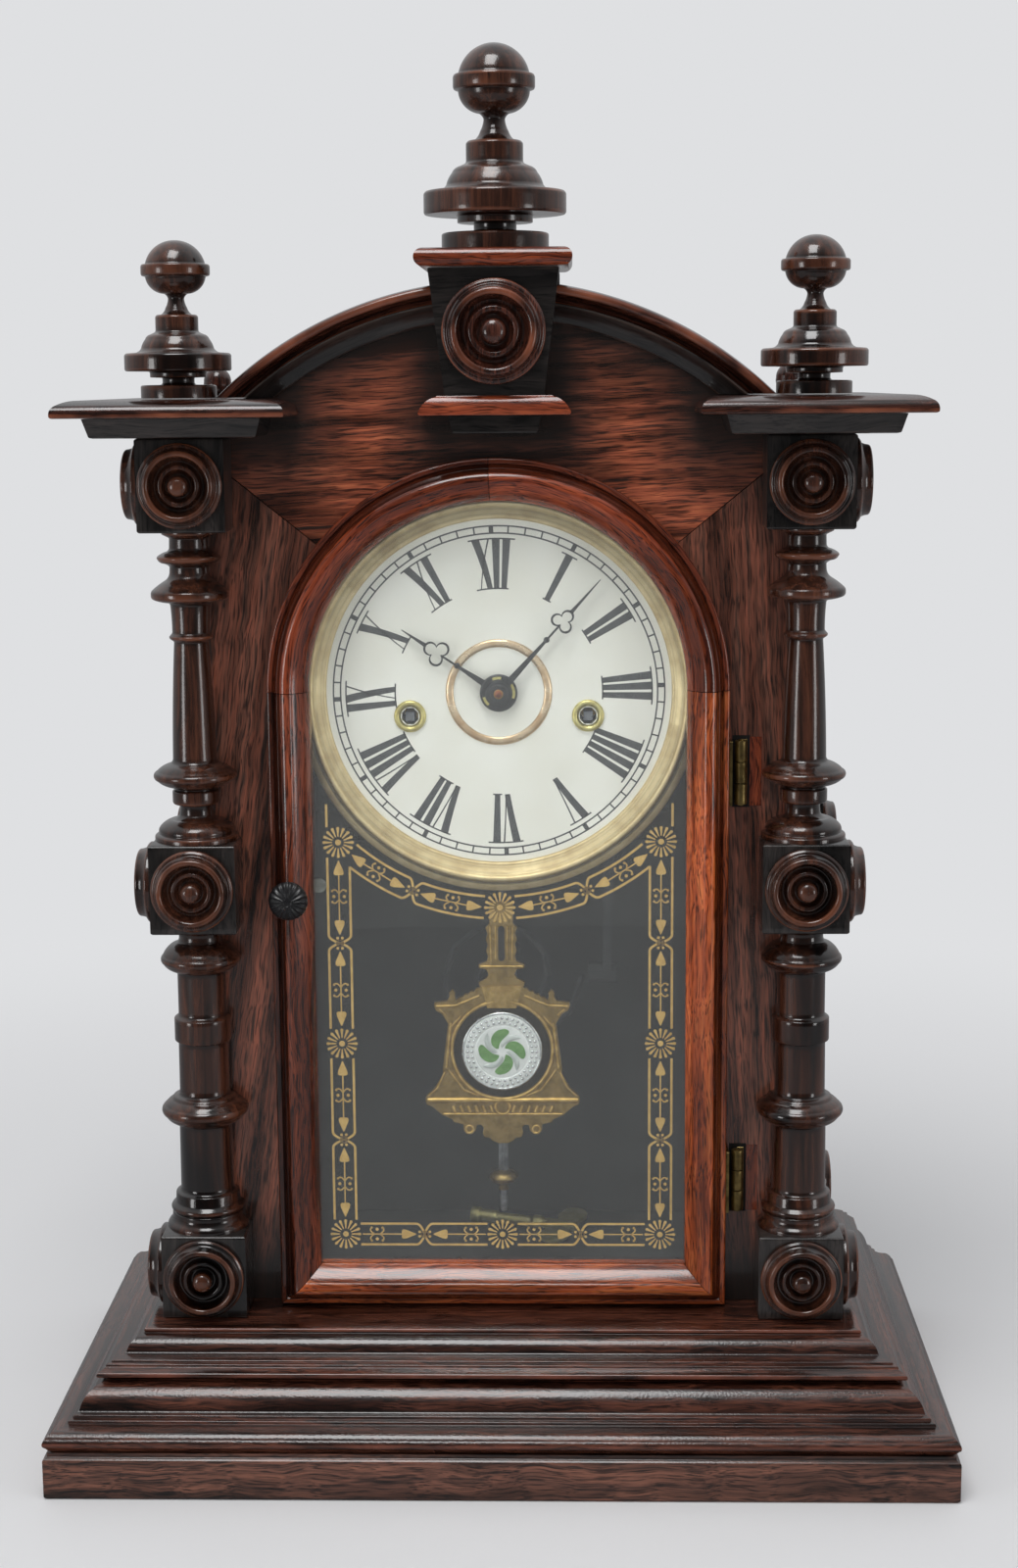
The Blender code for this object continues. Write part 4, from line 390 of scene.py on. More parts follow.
UPRIGHT = (0.0, math.radians(90), 0.0)  # turns the grain of a CAD board upright
rosewood = shellacked("rosewood_shellacked", "rosewood", "#20120e", "#563024", "#6e3e2c", "#7a4230",
                      1.1, 0.20, 0.05)
plinth_wood = shellacked("rosewood_plinth", "rosewood", "#301e18", "#704738", "#8a5844", "#8a4a32",
                         1.4, 0.26, 0.03, length=40)
# on these two veneers the dark colour for hollows is also the front board's painted shade
head_veneer = shellacked("rosewood_veneer_flame", "rosewood", "#3c2a23", "#a04e32", "#cc7048", "#8a4a32",
                         0.8, 0.24, 0.02, length=30, cloudy="#787878", ground=0.46, bend=1.4,
                         shade_and_old_finish="#1f1c1a", shade_and_old_finish_most=0.95)
strip_veneer = shellacked("rosewood_veneer_straight", "rosewood", "#3e2d26", "#754736", "#a05840", "#8a4a32",
                          1.1, 0.24, 0.02, length=36, cloudy="#808080", ground=0.45, bend=2.0,
                          shade_and_old_finish="#1f1c1a", shade_and_old_finish_most=0.95)
rosewood_side = shellacked("rosewood_veneer_upright", "rosewood", "#2a1711", "#6e3e2d", "#94523a", "#8a4a32",
                           2.0, 0.22, 0.02, UPRIGHT)
ebonised = shellacked("ebonised_turning", "ebonised_wood", "#22140e", "#42251a", "#603827", "#70402a",
                      2.6, 0.15, 0.012, cloudy="#484848", bend=1.6, pore=0.3)
# the blocks' grey is partly a painted reflection: the faint veil of the room on their upright faces, laid
# into the colour
block_ebony_and_reflection = shellacked("ebonised_block_painted_reflection", "ebonised_wood", "#211d1b", "#302b29", "#3d3532", "#4a3a32",
                         2.6, 0.24, 0.012)
roof_wood = shellacked("roof_board_shellacked", "red_rosewood", "#1c0f0b", "#46241a", "#68382a", "#8a4e36",
                       1.9, 0.16, 0.015)
dark_rosewood = shellacked("dark_rosewood_shellacked", "red_rosewood", "#3a1a10", "#84402a", "#a45234",
                           "#864428", 1.9, 0.16, 0.015, cloudy="#a0a0a0")
red_rosewood = shellacked("red_rosewood_shellacked", "red_rosewood", "#622818", "#8e3e22", "#a84e2a",
                          "#a05030", 1.9, 0.16, 0.015, cloudy="#a0a0a0")
orange_rosewood = shellacked("orange_rosewood_shellacked", "red_rosewood", "#823719", "#c25a2b", "#de783e",
                             "#a0502e", 1.9, 0.16, 0.015, cloudy="#a0a0a0")
stained_pine = shellacked("stained_pine", "inner_wood", "#2a1f18", "#46352a", "#5a4536", "#5a4536",
                          3.0, 0.55, 0.012, UPRIGHT)


# Base

low, high = extent("base_plinth")
BASE_PLAN = rectangle(-high[0], low[1], high[0], high[1])
BASE = (
    ("plinth", plinth_wood, "base_plinth", section(
        (0.8, 0.0), (0, 0.8), (0, 13.6), (1.4, 14.4), (1.4, 15.7))),
    ("lower_base_moulding", rosewood, "base_lower_moulding", section(
        (2.2, 16.0), (1.6, 16.6), (0.8, 17.6), (0.8, 20.4, 0.55), (3.2, 22.4, 0.18), (7.4, 23.2, -0.12),
        (7.4, 23.9), (7.7, 24.2), (8.8, 24.5), (8.8, 25.2), (9.1, 25.5), (9.9, 25.8), (10.7, 26.8, -0.3),
        (18.2, 33.8, 0.30), (18.3, 34.0), (21.0, 34.0), softness=0.2)),
    ("upper_base_moulding", rosewood, "base_upper_moulding", section(
        (20.8, 34.1), (18.4, 34.3), (16.4, 35.3), (16.4, 37.2, 0.8), (18.4, 38.3), (18.4, 38.9),
        (18.7, 39.2), (20.0, 39.4), (20.0, 39.7), (20.3, 40.0), (23.6, 40.6), (24.4, 41.5, -0.3),
        (29.3, 45.6, 0.31), (29.4, 45.9), (31.6, 45.9), softness=0.2)),
    ("platform_board", rosewood, "base_top_board", section(
        (31.4, 46.0), (29.8, 46.0), (29.5, 46.2), (29.5, 46.6), (30.2, 47.2, 0.35), (31.4, 47.4),
        softness=0.15)))
for name, wood, cad_name, line in BASE:
    make(name, [moulded(line, BASE_PLAN, FLUSH_REAR)], wood, "case", cad_name)


# Columns

COLUMN_X = 101.0
COLUMN_FRONT, COLUMN_REAR = -30.7, 54.8
BLOCK_HALF = 14.3
BLOCKS = ((47.5, 76.5), (181.2, 211.2), (313.7, 343.9))
CASE_EDGE = 99.3                # outside of the case's sides, with the fit
BOARD_FACE = -27.3              # front of the front board, with the fit

lower_turning = profile(
    (13.9, 76.5), (13.9, 77.6), (13.4, 78.4), (12.2, 80.6, -0.2), (12.2, 81.8), (11.6, 82.2),
    (12.0, 84.4, 0.7), (11.0, 85.2), (10.8, 88.6), (9.5, 89.2), (9.1, 90.2), (8.95, 112.6),
    (10.6, 113.4, -0.2), (13.6, 115.9, 0.2), (13.6, 119.6, 0.6), (11.2, 121.6, 0.15), (10.6, 122.6),
    (8.9, 123.0), (8.5, 124.2), (8.4, 141.6), (9.6, 142.0), (9.6, 149.8), (8.6, 150.4), (8.1, 151.0),
    (8.1, 165.8), (9.6, 166.4, -0.2), (12.8, 168.8, 0.2), (12.8, 171.6, 0.5), (9.8, 175.2, 0.15),
    (7.6, 176.0), (7.2, 177.4), (7.2, 179.4), (8.6, 180.2), (8.6, 181.2))
upper_turning = profile(
    (14.0, 211.2), (14.0, 212.6), (13.2, 213.2), (12.6, 213.4), (12.2, 215.6, 0.25), (8.6, 218.0, 0.15),
    (5.6, 219.6, -0.3), (5.4, 222.8), (7.4, 223.2), (7.8, 223.8), (7.8, 227.6), (6.8, 228.2),
    (7.6, 229.0, -0.2), (12.8, 231.2, 0.2), (12.8, 234.2, 0.7), (9.6, 236.4, 0.12), (7.9, 237.0),
    (7.3, 238.0), (5.7, 277.4, 0.012), (6.9, 278.2), (6.9, 279.4, 0.6), (6.2, 280.2), (6.6, 289.6, -0.03),
    (7.4, 290.4), (11.8, 291.2, 0.1), (12.8, 292.8, 0.4), (12.0, 294.6, 0.3), (8.2, 297.4, 0.05),
    (6.5, 300.2, -0.25), (6.4, 302.0), (8.6, 303.2, -0.15), (10.3, 304.4, 0.3), (10.3, 305.4, 0.5),
    (7.8, 306.8, 0.1), (6.4, 308.0, -0.3), (6.3, 311.4), (8.8, 312.6), (8.8, 313.7))


def rosette_line(radius, height):
    """A rosette's section from rim to button; the stations are shares of its radius and height."""
    shares = ((1, 0), (1, 0.16), (0.97, 0.30, 0.4), (0.90, 0.36, 0.3), (0.87, 0.44), (0.83, 0.72, -0.1),
              (0.76, 0.86, 0.45), (0.69, 0.74, 0.35), (0.60, 0.20, -0.12), (0.53, 0.22, -0.3), (0.49, 0.44),
              (0.43, 0.52, 0.5), (0.37, 0.40, 0.4), (0.30, 0.18, -0.2), (0.25, 0.20, -0.3), (0.235, 0.62),
              (0.20, 0.88, 0.2), (0.0, 1.0, 0.22))
    return profile(*((r * radius, h * height, *bulge) for r, h, *bulge in shares), softness=0.2, step=0.35)


ROSETTE = rosette_line(13.7, 6.5)
# the button's wear, and the most painted shade in a rosette's hollows
BUTTON_WEAR, HOLLOW_SHADE = 0.85, -0.5
BUTTON_SHARE = 0.236            # of a rosette's radius, its button
DARK_SHARE = 0.66               # of a rosette's radius, inside which only the button is rubbed


def rosette(line, place, axis, sides=56):
    """A rosette spun about its axis, its button rubbed all over and the painted shade in its hollows held to
    half.
    """
    spun = turned(line, place, axis, sides, UP)
    share = np.repeat(line[:, 0] / line[0, 0], sides)
    marked = np.where(share < DARK_SHARE, np.minimum(spun.ridge, 0), spun.ridge)
    return spun._replace(ridge=np.where(share < BUTTON_SHARE, BUTTON_WEAR, np.maximum(marked, HOLLOW_SHADE)))


def column(name, side, y):
    """A square-blocked column: turned lengths between blocks, trimmed round the case, with its rosettes."""
    front = y < 0
    edge, face = CASE_EDGE * MM, BOARD_FACE * MM

    def trim(points):
        """Moves points inside the case to its outside: front columns are notched, rear ones halved."""
        x, deep, z = np.moveaxis(points, -1, 0)
        out = x * side
        if front:
            deep = np.where(out < edge, np.minimum(deep, face), deep)
        else:
            out = np.maximum(out, edge)
        return np.stack([out * side, deep, z], -1)

    axis = at(side * COLUMN_X, y, 0)
    shapes = [turned(line, axis, keep=trim) for line in (lower_turning, upper_turning)]
    squares = []
    outer, inner = COLUMN_X + BLOCK_HALF, COLUMN_X - BLOCK_HALF
    near, far = y - BLOCK_HALF, y + BLOCK_HALF
    if front:
        plan = ((inner, BOARD_FACE), (inner, near), (outer, near), (outer, far), (CASE_EDGE, far),
                (CASE_EDGE, BOARD_FACE))
        inward = ((1, 0), (1, 1), (-1, 1), (-1, -1), (0, -1), (0, 0))
    else:
        plan = ((CASE_EDGE, near), (outer, near), (outer, far), (CASE_EDGE, far))
        inward = ((0, 1), (-1, 1), (-1, -1), (0, -1))
    plan = np.array(plan) * MM * (side, 1)
    inward = np.array(inward) * (side, 1)
    for foot, top in BLOCKS:
        levels = section((0.7, foot), (0, foot + 0.5), (0, top - 0.5), (0.7, top))
        squares.append(moulded(levels, plan, inward, UP))
        middle = (foot + top) / 2
        shapes.append(rosette(ROSETTE, at(side * outer, y, middle), (side, 0, 0)))
        if front:
            shapes.append(rosette(ROSETTE, at(side * COLUMN_X, near, middle), FORWARD))
    make("turned_" + name, shapes, ebonised, "case", name)
    make("square_blocks_" + name, squares, block_ebony_and_reflection, "case", name)


for place, y in (("front_", COLUMN_FRONT), ("rear_", COLUMN_REAR)):
    for word, side in SIDES:
        column("column_" + place + word, side, y)


# Finials


def finial_line(foot, disc, ball, height):
    """A finial's section from foot disc to ball, in mm: the heights are shares of the centre one's 65 mm."""
    s = height / 65
    neck = 0.30 * disc
    return profile(
        (foot, 0), (foot, 5.0 * s), (foot - 0.5, 5.4 * s), (neck + 0.5, 5.6 * s), (neck, 6.2 * s),
        (neck, 8.4 * s), (0.53 * disc, 8.6 * s), (0.53 * disc, 10.6 * s), (0.55 * disc, 11.0 * s),
        (disc - 0.4, 11.2 * s), (disc, 11.8 * s), (disc, 17.8 * s), (disc - 0.6, 18.6 * s),
        (0.78 * disc, 18.9 * s), (0.68 * disc, 20.6 * s, -0.2), (0.60 * disc, 24.4 * s, 0.12),
        (0.50 * disc, 26.4 * s, 0.25), (0.42 * disc, 27.2 * s), (0.40 * disc, 27.8 * s),
        (0.40 * disc, 33.6 * s), (0.37 * disc, 34.4 * s), (0.29 * disc, 34.5 * s),
        (0.20 * disc, 37.4 * s, -0.18), (0.15 * disc, 41.2 * s, -0.12), (0.22 * disc, 43.0 * s, -0.2),
        (ball, 50.0 * s, 0.36), (1.12 * ball, 50.4 * s), (1.14 * ball, 51.2 * s), (1.14 * ball, 54.2 * s),
        (1.11 * ball, 55.0 * s), (0.99 * ball, 55.2 * s), (0.0, 64.9 * s, 0.36), softness=0.3)


FINIAL_X, KEY_FINIAL_Y = 102.6, -19.0
for word, x, y, foot, disc, ball, sides in (("centre", 0, KEY_FINIAL_Y, 17.4, 23.1, 11.6, 72),
                                            ("left", -FINIAL_X, COLUMN_FRONT, 12.2, 17.2, 9.7, 56),
                                            ("right", FINIAL_X, COLUMN_FRONT, 12.2, 17.2, 9.7, 56)):
    low, high = extent("finial_" + word)
    spun = turned(finial_line(foot, disc, ball, high[2] - low[2]), at(x, y, low[2]), sides=sides)
    make("turned_finial_" + word, [spun], ebonised, "case", "finial_" + word)


# Cornices, roof and keystone

box_line = section((11.6, 344.2), (10.4, 344.5), (8.6, 350.4))
slab_line = section((9.0, 350.5), (0.9, 350.6), (0.2, 351.0), (0.2, 351.9), (1.7, 354.5, 0.268),
                    (6.8, 356.1, 0.11), (20.0, 356.2))
REAR_BALL = profile((3.4, 0), (3.4, 0.8), (2.6, 1.2), (4.9, 5.6, 0.38), (0.0, 10.8, 0.42))
REAR_BALL_FOOT = 356.0
low, high = extent("cornice_right")
for word, side in SIDES:
    plan = ((low[0], BOARD_FACE), (low[0], low[1]), (high[0], low[1]), (high[0], high[1]),
            (CASE_EDGE, high[1]), (CASE_EDGE, BOARD_FACE))
    inward = ((1, 0), (1, 1), (-1, 1), (-1, 0), (0, 0), (0, 0))
    plan, inward = np.array(plan) * MM * (side, 1), np.array(inward) * (side, 1)
    ball = turned(REAR_BALL, at(side * FINIAL_X, COLUMN_REAR, REAR_BALL_FOOT), sides=36)
    slab = [moulded(slab_line, plan, inward), ball]
    make("cornice_box_" + word, [moulded(box_line, plan, inward)], block_ebony_and_reflection, "case", "cornice_" + word)
    make("cornice_slab_" + word, slab, roof_wood, "case", "cornice_" + word)

low, high = extent("arch_roof")
ROOF_RADIUS = 130.0
ROOF_CENTRE = (high[2] - ROOF_RADIUS) * MM
ROOF_FOOT = low[2] * MM
HOLLOW_START = 0.12             # radians from the crown, behind the keystone
nosing = profile((124.0, high[1]), (124.0, -30.5), (125.6, -31.0), (126.2, -33.6), (126.6, -34.6),
                 (129.6, -34.6, 0.9), (130.0, -31.8), (130.0, high[1]))[::-1]
roof_board = arched(nosing, ROOF_CENTRE, -1, 1, ROOF_FOOT, 128)
make("arched_roof_board", [roof_board], roof_wood, "case", "arch_roof")
hollow = profile((123.8, -27.4), (117.6, -27.4), (117.6, -28.6), (118.4, -29.2), (123.2, -33.6, -0.2),
                 (123.8, -33.4))[::-1]
for word, start, end in (("left", -1, -HOLLOW_START), ("right", HOLLOW_START, 1)):
    cove = arched(hollow, ROOF_CENTRE, start, end, ROOF_FOOT + 0.002 * MM, 64)
    make("arch_hollow_" + word, [cove], block_ebony_and_reflection, "case", "arch_cove_" + word)

low, high = extent("keystone")
KEY_FRONT, KEY_HALF = -43.0, 20.8
KEY_INWARD = ((1, 0.35), (-1, 0.35), (-1, 0), (1, 0))
KEY_REAR_INWARD = ((1, 0), (-1, 0), (-1, -1), (1, -1))
key_plan = rectangle(-KEY_HALF, KEY_FRONT, KEY_HALF, BOARD_FACE)
foot_line = section((7.6, low[2]), (7.1, low[2] + 0.4), (5.9, 350.4))
sill_line = section((5.9, 350.5), (-2.9, 350.5), (-3.6, 350.9), (-3.6, 351.4), (2.0, 356.3, 0.26),
                    (2.4, 356.6))
block_line = section((4.9, 356.7), (0.0, high[2] - 0.3), (0.4, high[2]))
foot, sill, key_block = (moulded(line, key_plan, KEY_INWARD) for line in (foot_line, sill_line, block_line))
rear_line = section((0.4, 384.0), (0.0, 385.0), (0.0, high[2] - 0.3), (0.4, high[2]))
rear_plan = rectangle(-KEY_HALF, BOARD_FACE + 0.1, KEY_HALF, high[1])
key_rear = moulded(rear_line, rear_plan, KEY_REAR_INWARD)
make("keystone_sill", [sill], red_rosewood, "case", "keystone")
make("keystone_block", [foot, key_block, key_rear], block_ebony_and_reflection, "case", "keystone")
low, high = extent("keystone_cap")
cap_half = (high[2] - low[2]) / 2
cap_line = section((cap_half + 1, low[2]), (cap_half, low[2]), (cap_half, high[2], 1.0),
                   (cap_half + 1, high[2]))
cap = moulded(cap_line, rectangle(low[0], low[1], high[0], high[1]), ALL_ROUND)
make("keystone_cap_board", [cap], red_rosewood, "case", "keystone_cap")
key_rosette = rosette(rosette_line(16.6, 6.8), at(0, KEY_FRONT, 376.7), FORWARD, 72)
make("keystone_turned_rosette", [key_rosette], roof_wood, "case", "keystone_rosette")


# Front board

BOARD_HALF, BOARD_FOOT, BOARD_TOP, BOARD_RADIUS = 99.0, 47.5, 355.9, 123.6
BOARD_BACK, BOARD_FRONT = -19.5, -27.0
low, high = extent("door_stile_left")
DOOR_HALF, DOOR_FOOT = -low[0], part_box("door_rail")[0][2] / MM
DOOR_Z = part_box("door_arch")[1][2] / MM - DOOR_HALF
DOORWAY, DOORWAY_FOOT = DOOR_HALF - 2.2, DOOR_FOOT + 11.9
JOINT_ANGLE = 39.0              # degrees above level of the veneer's joint, seen from the arch's centre
SHADE_REACH = 27.0             # mm over which the painted shade fades
JOINT_GAP = 0.09                # degrees, half of the dark line at each joint


def reach(turn, half, foot, crown):
    """Distance from the arch's centre to an outline along each angle: the least of sides, foot and crown."""
    c, s = np.cos(turn), np.sin(turn)
    with np.errstate(divide="ignore"):
        sides = half / np.abs(c)
        below = np.where(s < 0, (DOOR_Z - foot) / np.abs(s), np.inf)
    return np.minimum(np.minimum(sides, below), crown(c, s))


def board_crown(c, s):
    """The board's top: the roof's curve, or the cornice's level where that is higher."""
    drop = DOOR_Z - ROOF_CENTRE / MM
    arc = -drop * s + np.sqrt(np.maximum(BOARD_RADIUS ** 2 - (drop * c) ** 2, 0))
    flat = np.where(s > 1e-6, (BOARD_TOP - DOOR_Z) / np.maximum(s, 1e-6), np.inf)
    return np.where(s > 0, np.maximum(arc, flat), np.inf)


def door_crown(c, s):
    """The doorway's half round head."""
    return np.where(s > 0, DOORWAY, np.inf)


BOARD_CORNERS = [math.atan2(z - DOOR_Z, x) % (2 * math.pi) for x, z in (
    (BOARD_HALF, BOARD_TOP), (-BOARD_HALF, BOARD_TOP), (BOARD_HALF, BOARD_FOOT), (-BOARD_HALF, BOARD_FOOT),
    (DOORWAY, DOORWAY_FOOT), (-DOORWAY, DOORWAY_FOOT))]
# painted shade on the front board: darker under the roof, round the keystone's foot, under the cornices and
# above the base
SHADED_KEY = (16, 348)        # mm: half the width and the height of the keystone's foot
SHADED_CORNICE = (70, 346)    # the cornices' inner end and underside
SHADED_FOOT = 54              # the strip above the base


def apart(across, below):
    """Distance to a region that reaches across and upwards from its corner: 0 inside it."""
    return np.hypot(np.maximum(across, 0), np.maximum(below, 0))


def board_shade(x, z):
    """How dark the painted shade is: 1.2 - d / reach, kept within 0 and 1.

    d is the distance to the nearest of the roof, the keystone's foot, the cornices and the base.
    """
    roof = BOARD_RADIUS - np.hypot(x, np.maximum(z - ROOF_CENTRE / MM, 0))
    key = apart(np.abs(x) - SHADED_KEY[0], SHADED_KEY[1] - z)
    cornice = apart(SHADED_CORNICE[0] - np.abs(x), SHADED_CORNICE[1] - z)
    foot = np.maximum(z - SHADED_FOOT, 0)
    near = np.minimum(np.minimum(roof, key), np.minimum(cornice, foot))
    return np.clip(1.2 - near / SHADE_REACH, 0, 1)


def veneered(name, start, end, way, material):
    """The front board between two angles, in degrees: r(t) from the doorway's edge to the outside."""
    start, end = (math.radians(v) for v in (start + JOINT_GAP, end - JOINT_GAP))
    inside = [t + k for t in BOARD_CORNERS for k in (-2 * math.pi, 0) if start < t + k < end]
    turns = np.sort(np.concatenate([np.linspace(start, end, 96), inside]))[:, None]
    inner_edge = reach(turns, DOORWAY, DOORWAY_FOOT, door_crown)
    outer_edge = reach(turns, BOARD_HALF, BOARD_FOOT, board_crown)
    share = np.concatenate([[0], np.linspace(0, 1, 16), [1]])
    depth = np.concatenate([[BOARD_BACK], np.full(16, BOARD_FRONT), [BOARD_BACK]])
    radius = inner_edge + (outer_edge - inner_edge) * share
    x, z = radius * np.cos(turns), DOOR_Z + radius * np.sin(turns)
    points = np.stack([x, np.broadcast_to(depth, x.shape), z], -1) * MM
    way = np.array(way) / np.linalg.norm(way)
    board = surface(points, 0.0, way, wrap_cols=True, caps=True)
    # the painted shade goes in as a negative ridge, which the finish paints dark like a hollow
    make(name, [board._replace(ridge=-board_shade(x, z).ravel())], material, "case", "front_board")


veneered("veneered_head", JOINT_ANGLE, 180 - JOINT_ANGLE, (1, 0, 0.05), head_veneer)
veneered("veneered_strip_left", 180 - JOINT_ANGLE, 270, (0.14, 0, 1), strip_veneer)
veneered("veneered_strip_right", -90, JOINT_ANGLE, (-0.05, 0, 1), strip_veneer)


# Door

DOOR_BACK = high[1]
member = profile((0.0, DOOR_BACK), (0.0, -33.2), (0.4, -33.9), (1.9, -33.9), (2.3, -33.0), (2.7, -33.6),
                 (4.4, -36.8, 0.1), (6.8, -38.2, 0.24), (8.8, -37.4, 0.22), (14.0, -32.0, 0.12),
                 (14.1, DOOR_BACK))
WIDTH = member[:, 0]
# painted dark reflection: the fillet and outer slope, within 5 mm of the door's edge, are set as hollows so
# that they are painted dark, with old finish built up there too; inwards the ridges give wear
member_wear_and_shade = np.where(WIDTH < 5.0, np.where(WIDTH < 1.8, -0.6, -0.9), ridges(member))


def straight(start, end, place, grain):
    """The door's section carried along a line; place turns (distance in, depth, run) into x, y, z."""
    run = start[:, None] + (end - start)[:, None] * np.linspace(0, 1, 2)
    inset = np.broadcast_to(WIDTH[:, None], run.shape)
    deep = np.broadcast_to(member[:, 1:], run.shape)
    points = np.stack(place(inset, deep, run), -1).transpose(1, 0, 2) * MM
    loop = surface(points, 0.0, grain, wrap_cols=True, caps=True)
    return loop._replace(ridge=np.tile(member_wear_and_shade, 2))


ARCH_JOINT = math.radians(-1.9)  # the joint of the arch's halves, left of the crown
ARCH_POINTS = 64
HAIRLINE = 0.12                 # mm, half of the gap left at each joint of the door
bend = np.stack([DOOR_HALF - WIDTH, member[:, 1]], -1)
gap = HAIRLINE / DOOR_HALF
for (word, side), wood in zip(SIDES, (dark_rosewood, orange_rosewood)):
    stile = straight(DOOR_FOOT + WIDTH + HAIRLINE, np.full(len(WIDTH), DOOR_Z - HAIRLINE),
                     lambda inset, deep, run: (side * (DOOR_HALF - inset), deep, run), UP)
    make("moulded_stile_" + word, [stile], wood, "door", "door_stile_" + word)
    start, end = sorted((ARCH_JOINT, side * math.pi / 2))
    arch = arched(bend, DOOR_Z * MM, start + gap, end - gap, None, ARCH_POINTS)
    arch = arch._replace(ridge=np.tile(member_wear_and_shade, ARCH_POINTS))
    make("moulded_arch_" + word, [arch], red_rosewood, "door", "door_arch")
rail = straight(-(DOOR_HALF - WIDTH) + HAIRLINE, DOOR_HALF - WIDTH - HAIRLINE,
                lambda inset, deep, run: (run, deep, DOOR_FOOT + inset), (1, 0, 0))
make("moulded_rail", [rail], orange_rosewood, "door", "door_rail")


# Metals, glass and paint


def metal(name, slot, bright, dull, rough, spot, spun=None):
    """Worked metal gone slightly dull: clouds of tarnish, dark hollows, uneven gloss and fine tool lines.

    spot is the width of the clouds in mm. spun is the centre (x, z) in mm of concentric lathe lines.
    """
    material, tree, shader = finish(name, slot)
    place = node(tree, "TexCoord", out="Object")
    cloud = node(tree, "TexNoise", {"Vector": place, "Scale": 1 / (spot * MM), "Detail": 4.0,
                                    "Roughness": 0.6})
    tone = node(tree, "ValToRGB", {"Fac": cloud}, stops=((0.35, dull), (0.62, bright)))
    ridge = node(tree, "Attribute", attribute_name="ridge", out="Fac")
    height = node(tree, "MapRange", {0: ridge, 1: -1.0, 2: 1.0})
    rubbed = node(tree, "ValToRGB", {"Fac": height},
                  stops=((0.0, "#8c8c8c"), (1.0, "#ffffff"), (0.5, "#f0f0f0")))
    toned = node(tree, "Mix", {0: 1.0, 6: tone, 7: rubbed}, data_type="RGBA",
                 blend_type="MULTIPLY", out=2)
    tree.links.new(toned, shader.inputs["Base Color"])
    gloss = node(tree, "MapRange", {0: cloud, 1: 0.3, 2: 0.7, 3: rough + 0.14, 4: rough})
    tree.links.new(gloss, shader.inputs["Roughness"])
    shader.inputs["Metallic"].default_value = 1.0
    if spun is None:
        # file marks are 0.05 mm wide; drawn 0.3 mm so that they show
        lines = node(tree, "TexNoise", {"Vector": place, "Scale": 1 / (0.3 * MM), "Detail": 1.0})
    else:
        # lathe lines are 0.05 mm apart; drawn 0.25 mm so that they show
        flat_on = node(tree, "VectorMath", {0: place, 1: (1.0, 0.0, 1.0)}, operation="MULTIPLY")
        middle = (spun[0] * MM, 0.0, spun[1] * MM)
        radius = node(tree, "VectorMath", {0: flat_on, 1: middle}, operation="DISTANCE", out="Value")
        lines = node(tree, "TexNoise", {"W": radius, "Scale": 1 / (0.25 * MM), "Detail": 1.0},
                     noise_dimensions="1D")
    skin = node(tree, "Bump", {"Height": lines, "Strength": 0.12, "Distance": 0.05 * MM})
    tree.links.new(skin, shader.inputs["Normal"])
    return material


def coated(name, slot, tone, shade, rough, spot, metallic=0.0):
    """A paint, enamel or print: nearly even, with faint clouding and a slightly uneven skin. spot in mm."""
    material, tree, shader = finish(name, slot)
    place = node(tree, "TexCoord", out="Object")
    cloud = node(tree, "TexNoise", {"Vector": place, "Scale": 1 / (spot * MM), "Detail": 3.0})
    colour = node(tree, "ValToRGB", {"Fac": cloud}, stops=((0.3, shade), (0.7, tone)))
    tree.links.new(colour, shader.inputs["Base Color"])
    gloss = node(tree, "MapRange", {0: cloud, 1: 0.3, 2: 0.7, 3: rough + 0.08, 4: rough})
    tree.links.new(gloss, shader.inputs["Roughness"])
    shader.inputs["Metallic"].default_value = metallic
    skin = node(tree, "Bump", {"Height": cloud, "Strength": 0.05, "Distance": 0.1 * MM})
    tree.links.new(skin, shader.inputs["Normal"])
    return material


def window_glass():
    """Old sheet glass: clear, faintly wavy and glossy, with a thin film of dust. Lamps shine through it."""
    material, tree, shader = finish("sheet_glass_clear", "glass")
    shader.inputs["Base Color"].default_value = linear("#fbfdfc")
    shader.inputs["Roughness"].default_value = 0.015
    shader.inputs["IOR"].default_value = 1.46
    shader.inputs["Transmission Weight"].default_value = 0.972
    place = node(tree, "TexCoord", out="Object")
    # drawn glass waves are about 30 mm long
    wave = node(tree, "TexNoise", {"Vector": place, "Scale": 1 / (30 * MM), "Detail": 1.0})
    skin = node(tree, "Bump", {"Height": wave, "Strength": 0.02, "Distance": 1.0 * MM})
    tree.links.new(skin, shader.inputs["Normal"])
    clear = node(tree, "BsdfTransparent")
    ray = node(tree, "LightPath", out="Is Shadow Ray")
    mixed = node(tree, "MixShader", {0: ray, 1: shader.outputs[0], 2: clear})
    tree.links.new(mixed, tree.nodes["Material Output"].inputs["Surface"])
    return material


low, high = extent("dial_bezel")
DIAL_Z = (low[2] + high[2]) / 2
DIAL_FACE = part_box("dial_plate")[0][1] / MM + 0.3
bezel_brass = metal("spun_brass_lacquered", "brass", "#e2d0a2", "#c8b284", 0.48, 9.0, (0, DIAL_Z))
eyelet_brass = metal("brass_eyelet", "brass", "#ded592", "#c0b26c", 0.26, 5.0)
brass = metal("brass_rolled", "brass", "#b8964e", "#8d7038", 0.30, 6.0)
stamped_brass = metal("brass_stamped_aged", "brass", "#d2b068", "#a88a4a", 0.42, 3.0)
key_brass = metal("brass_key_dull", "brass", "#dcd294", "#bdb070", 0.45, 5.0)
old_brass = metal("brass_darkened", "brass", "#a08a58", "#665638", 0.36, 4.0)
rose_brass = metal("brass_gilt_ring", "brass", "#e6cfae", "#c9a882", 0.24, 5.0, (0, DIAL_Z))
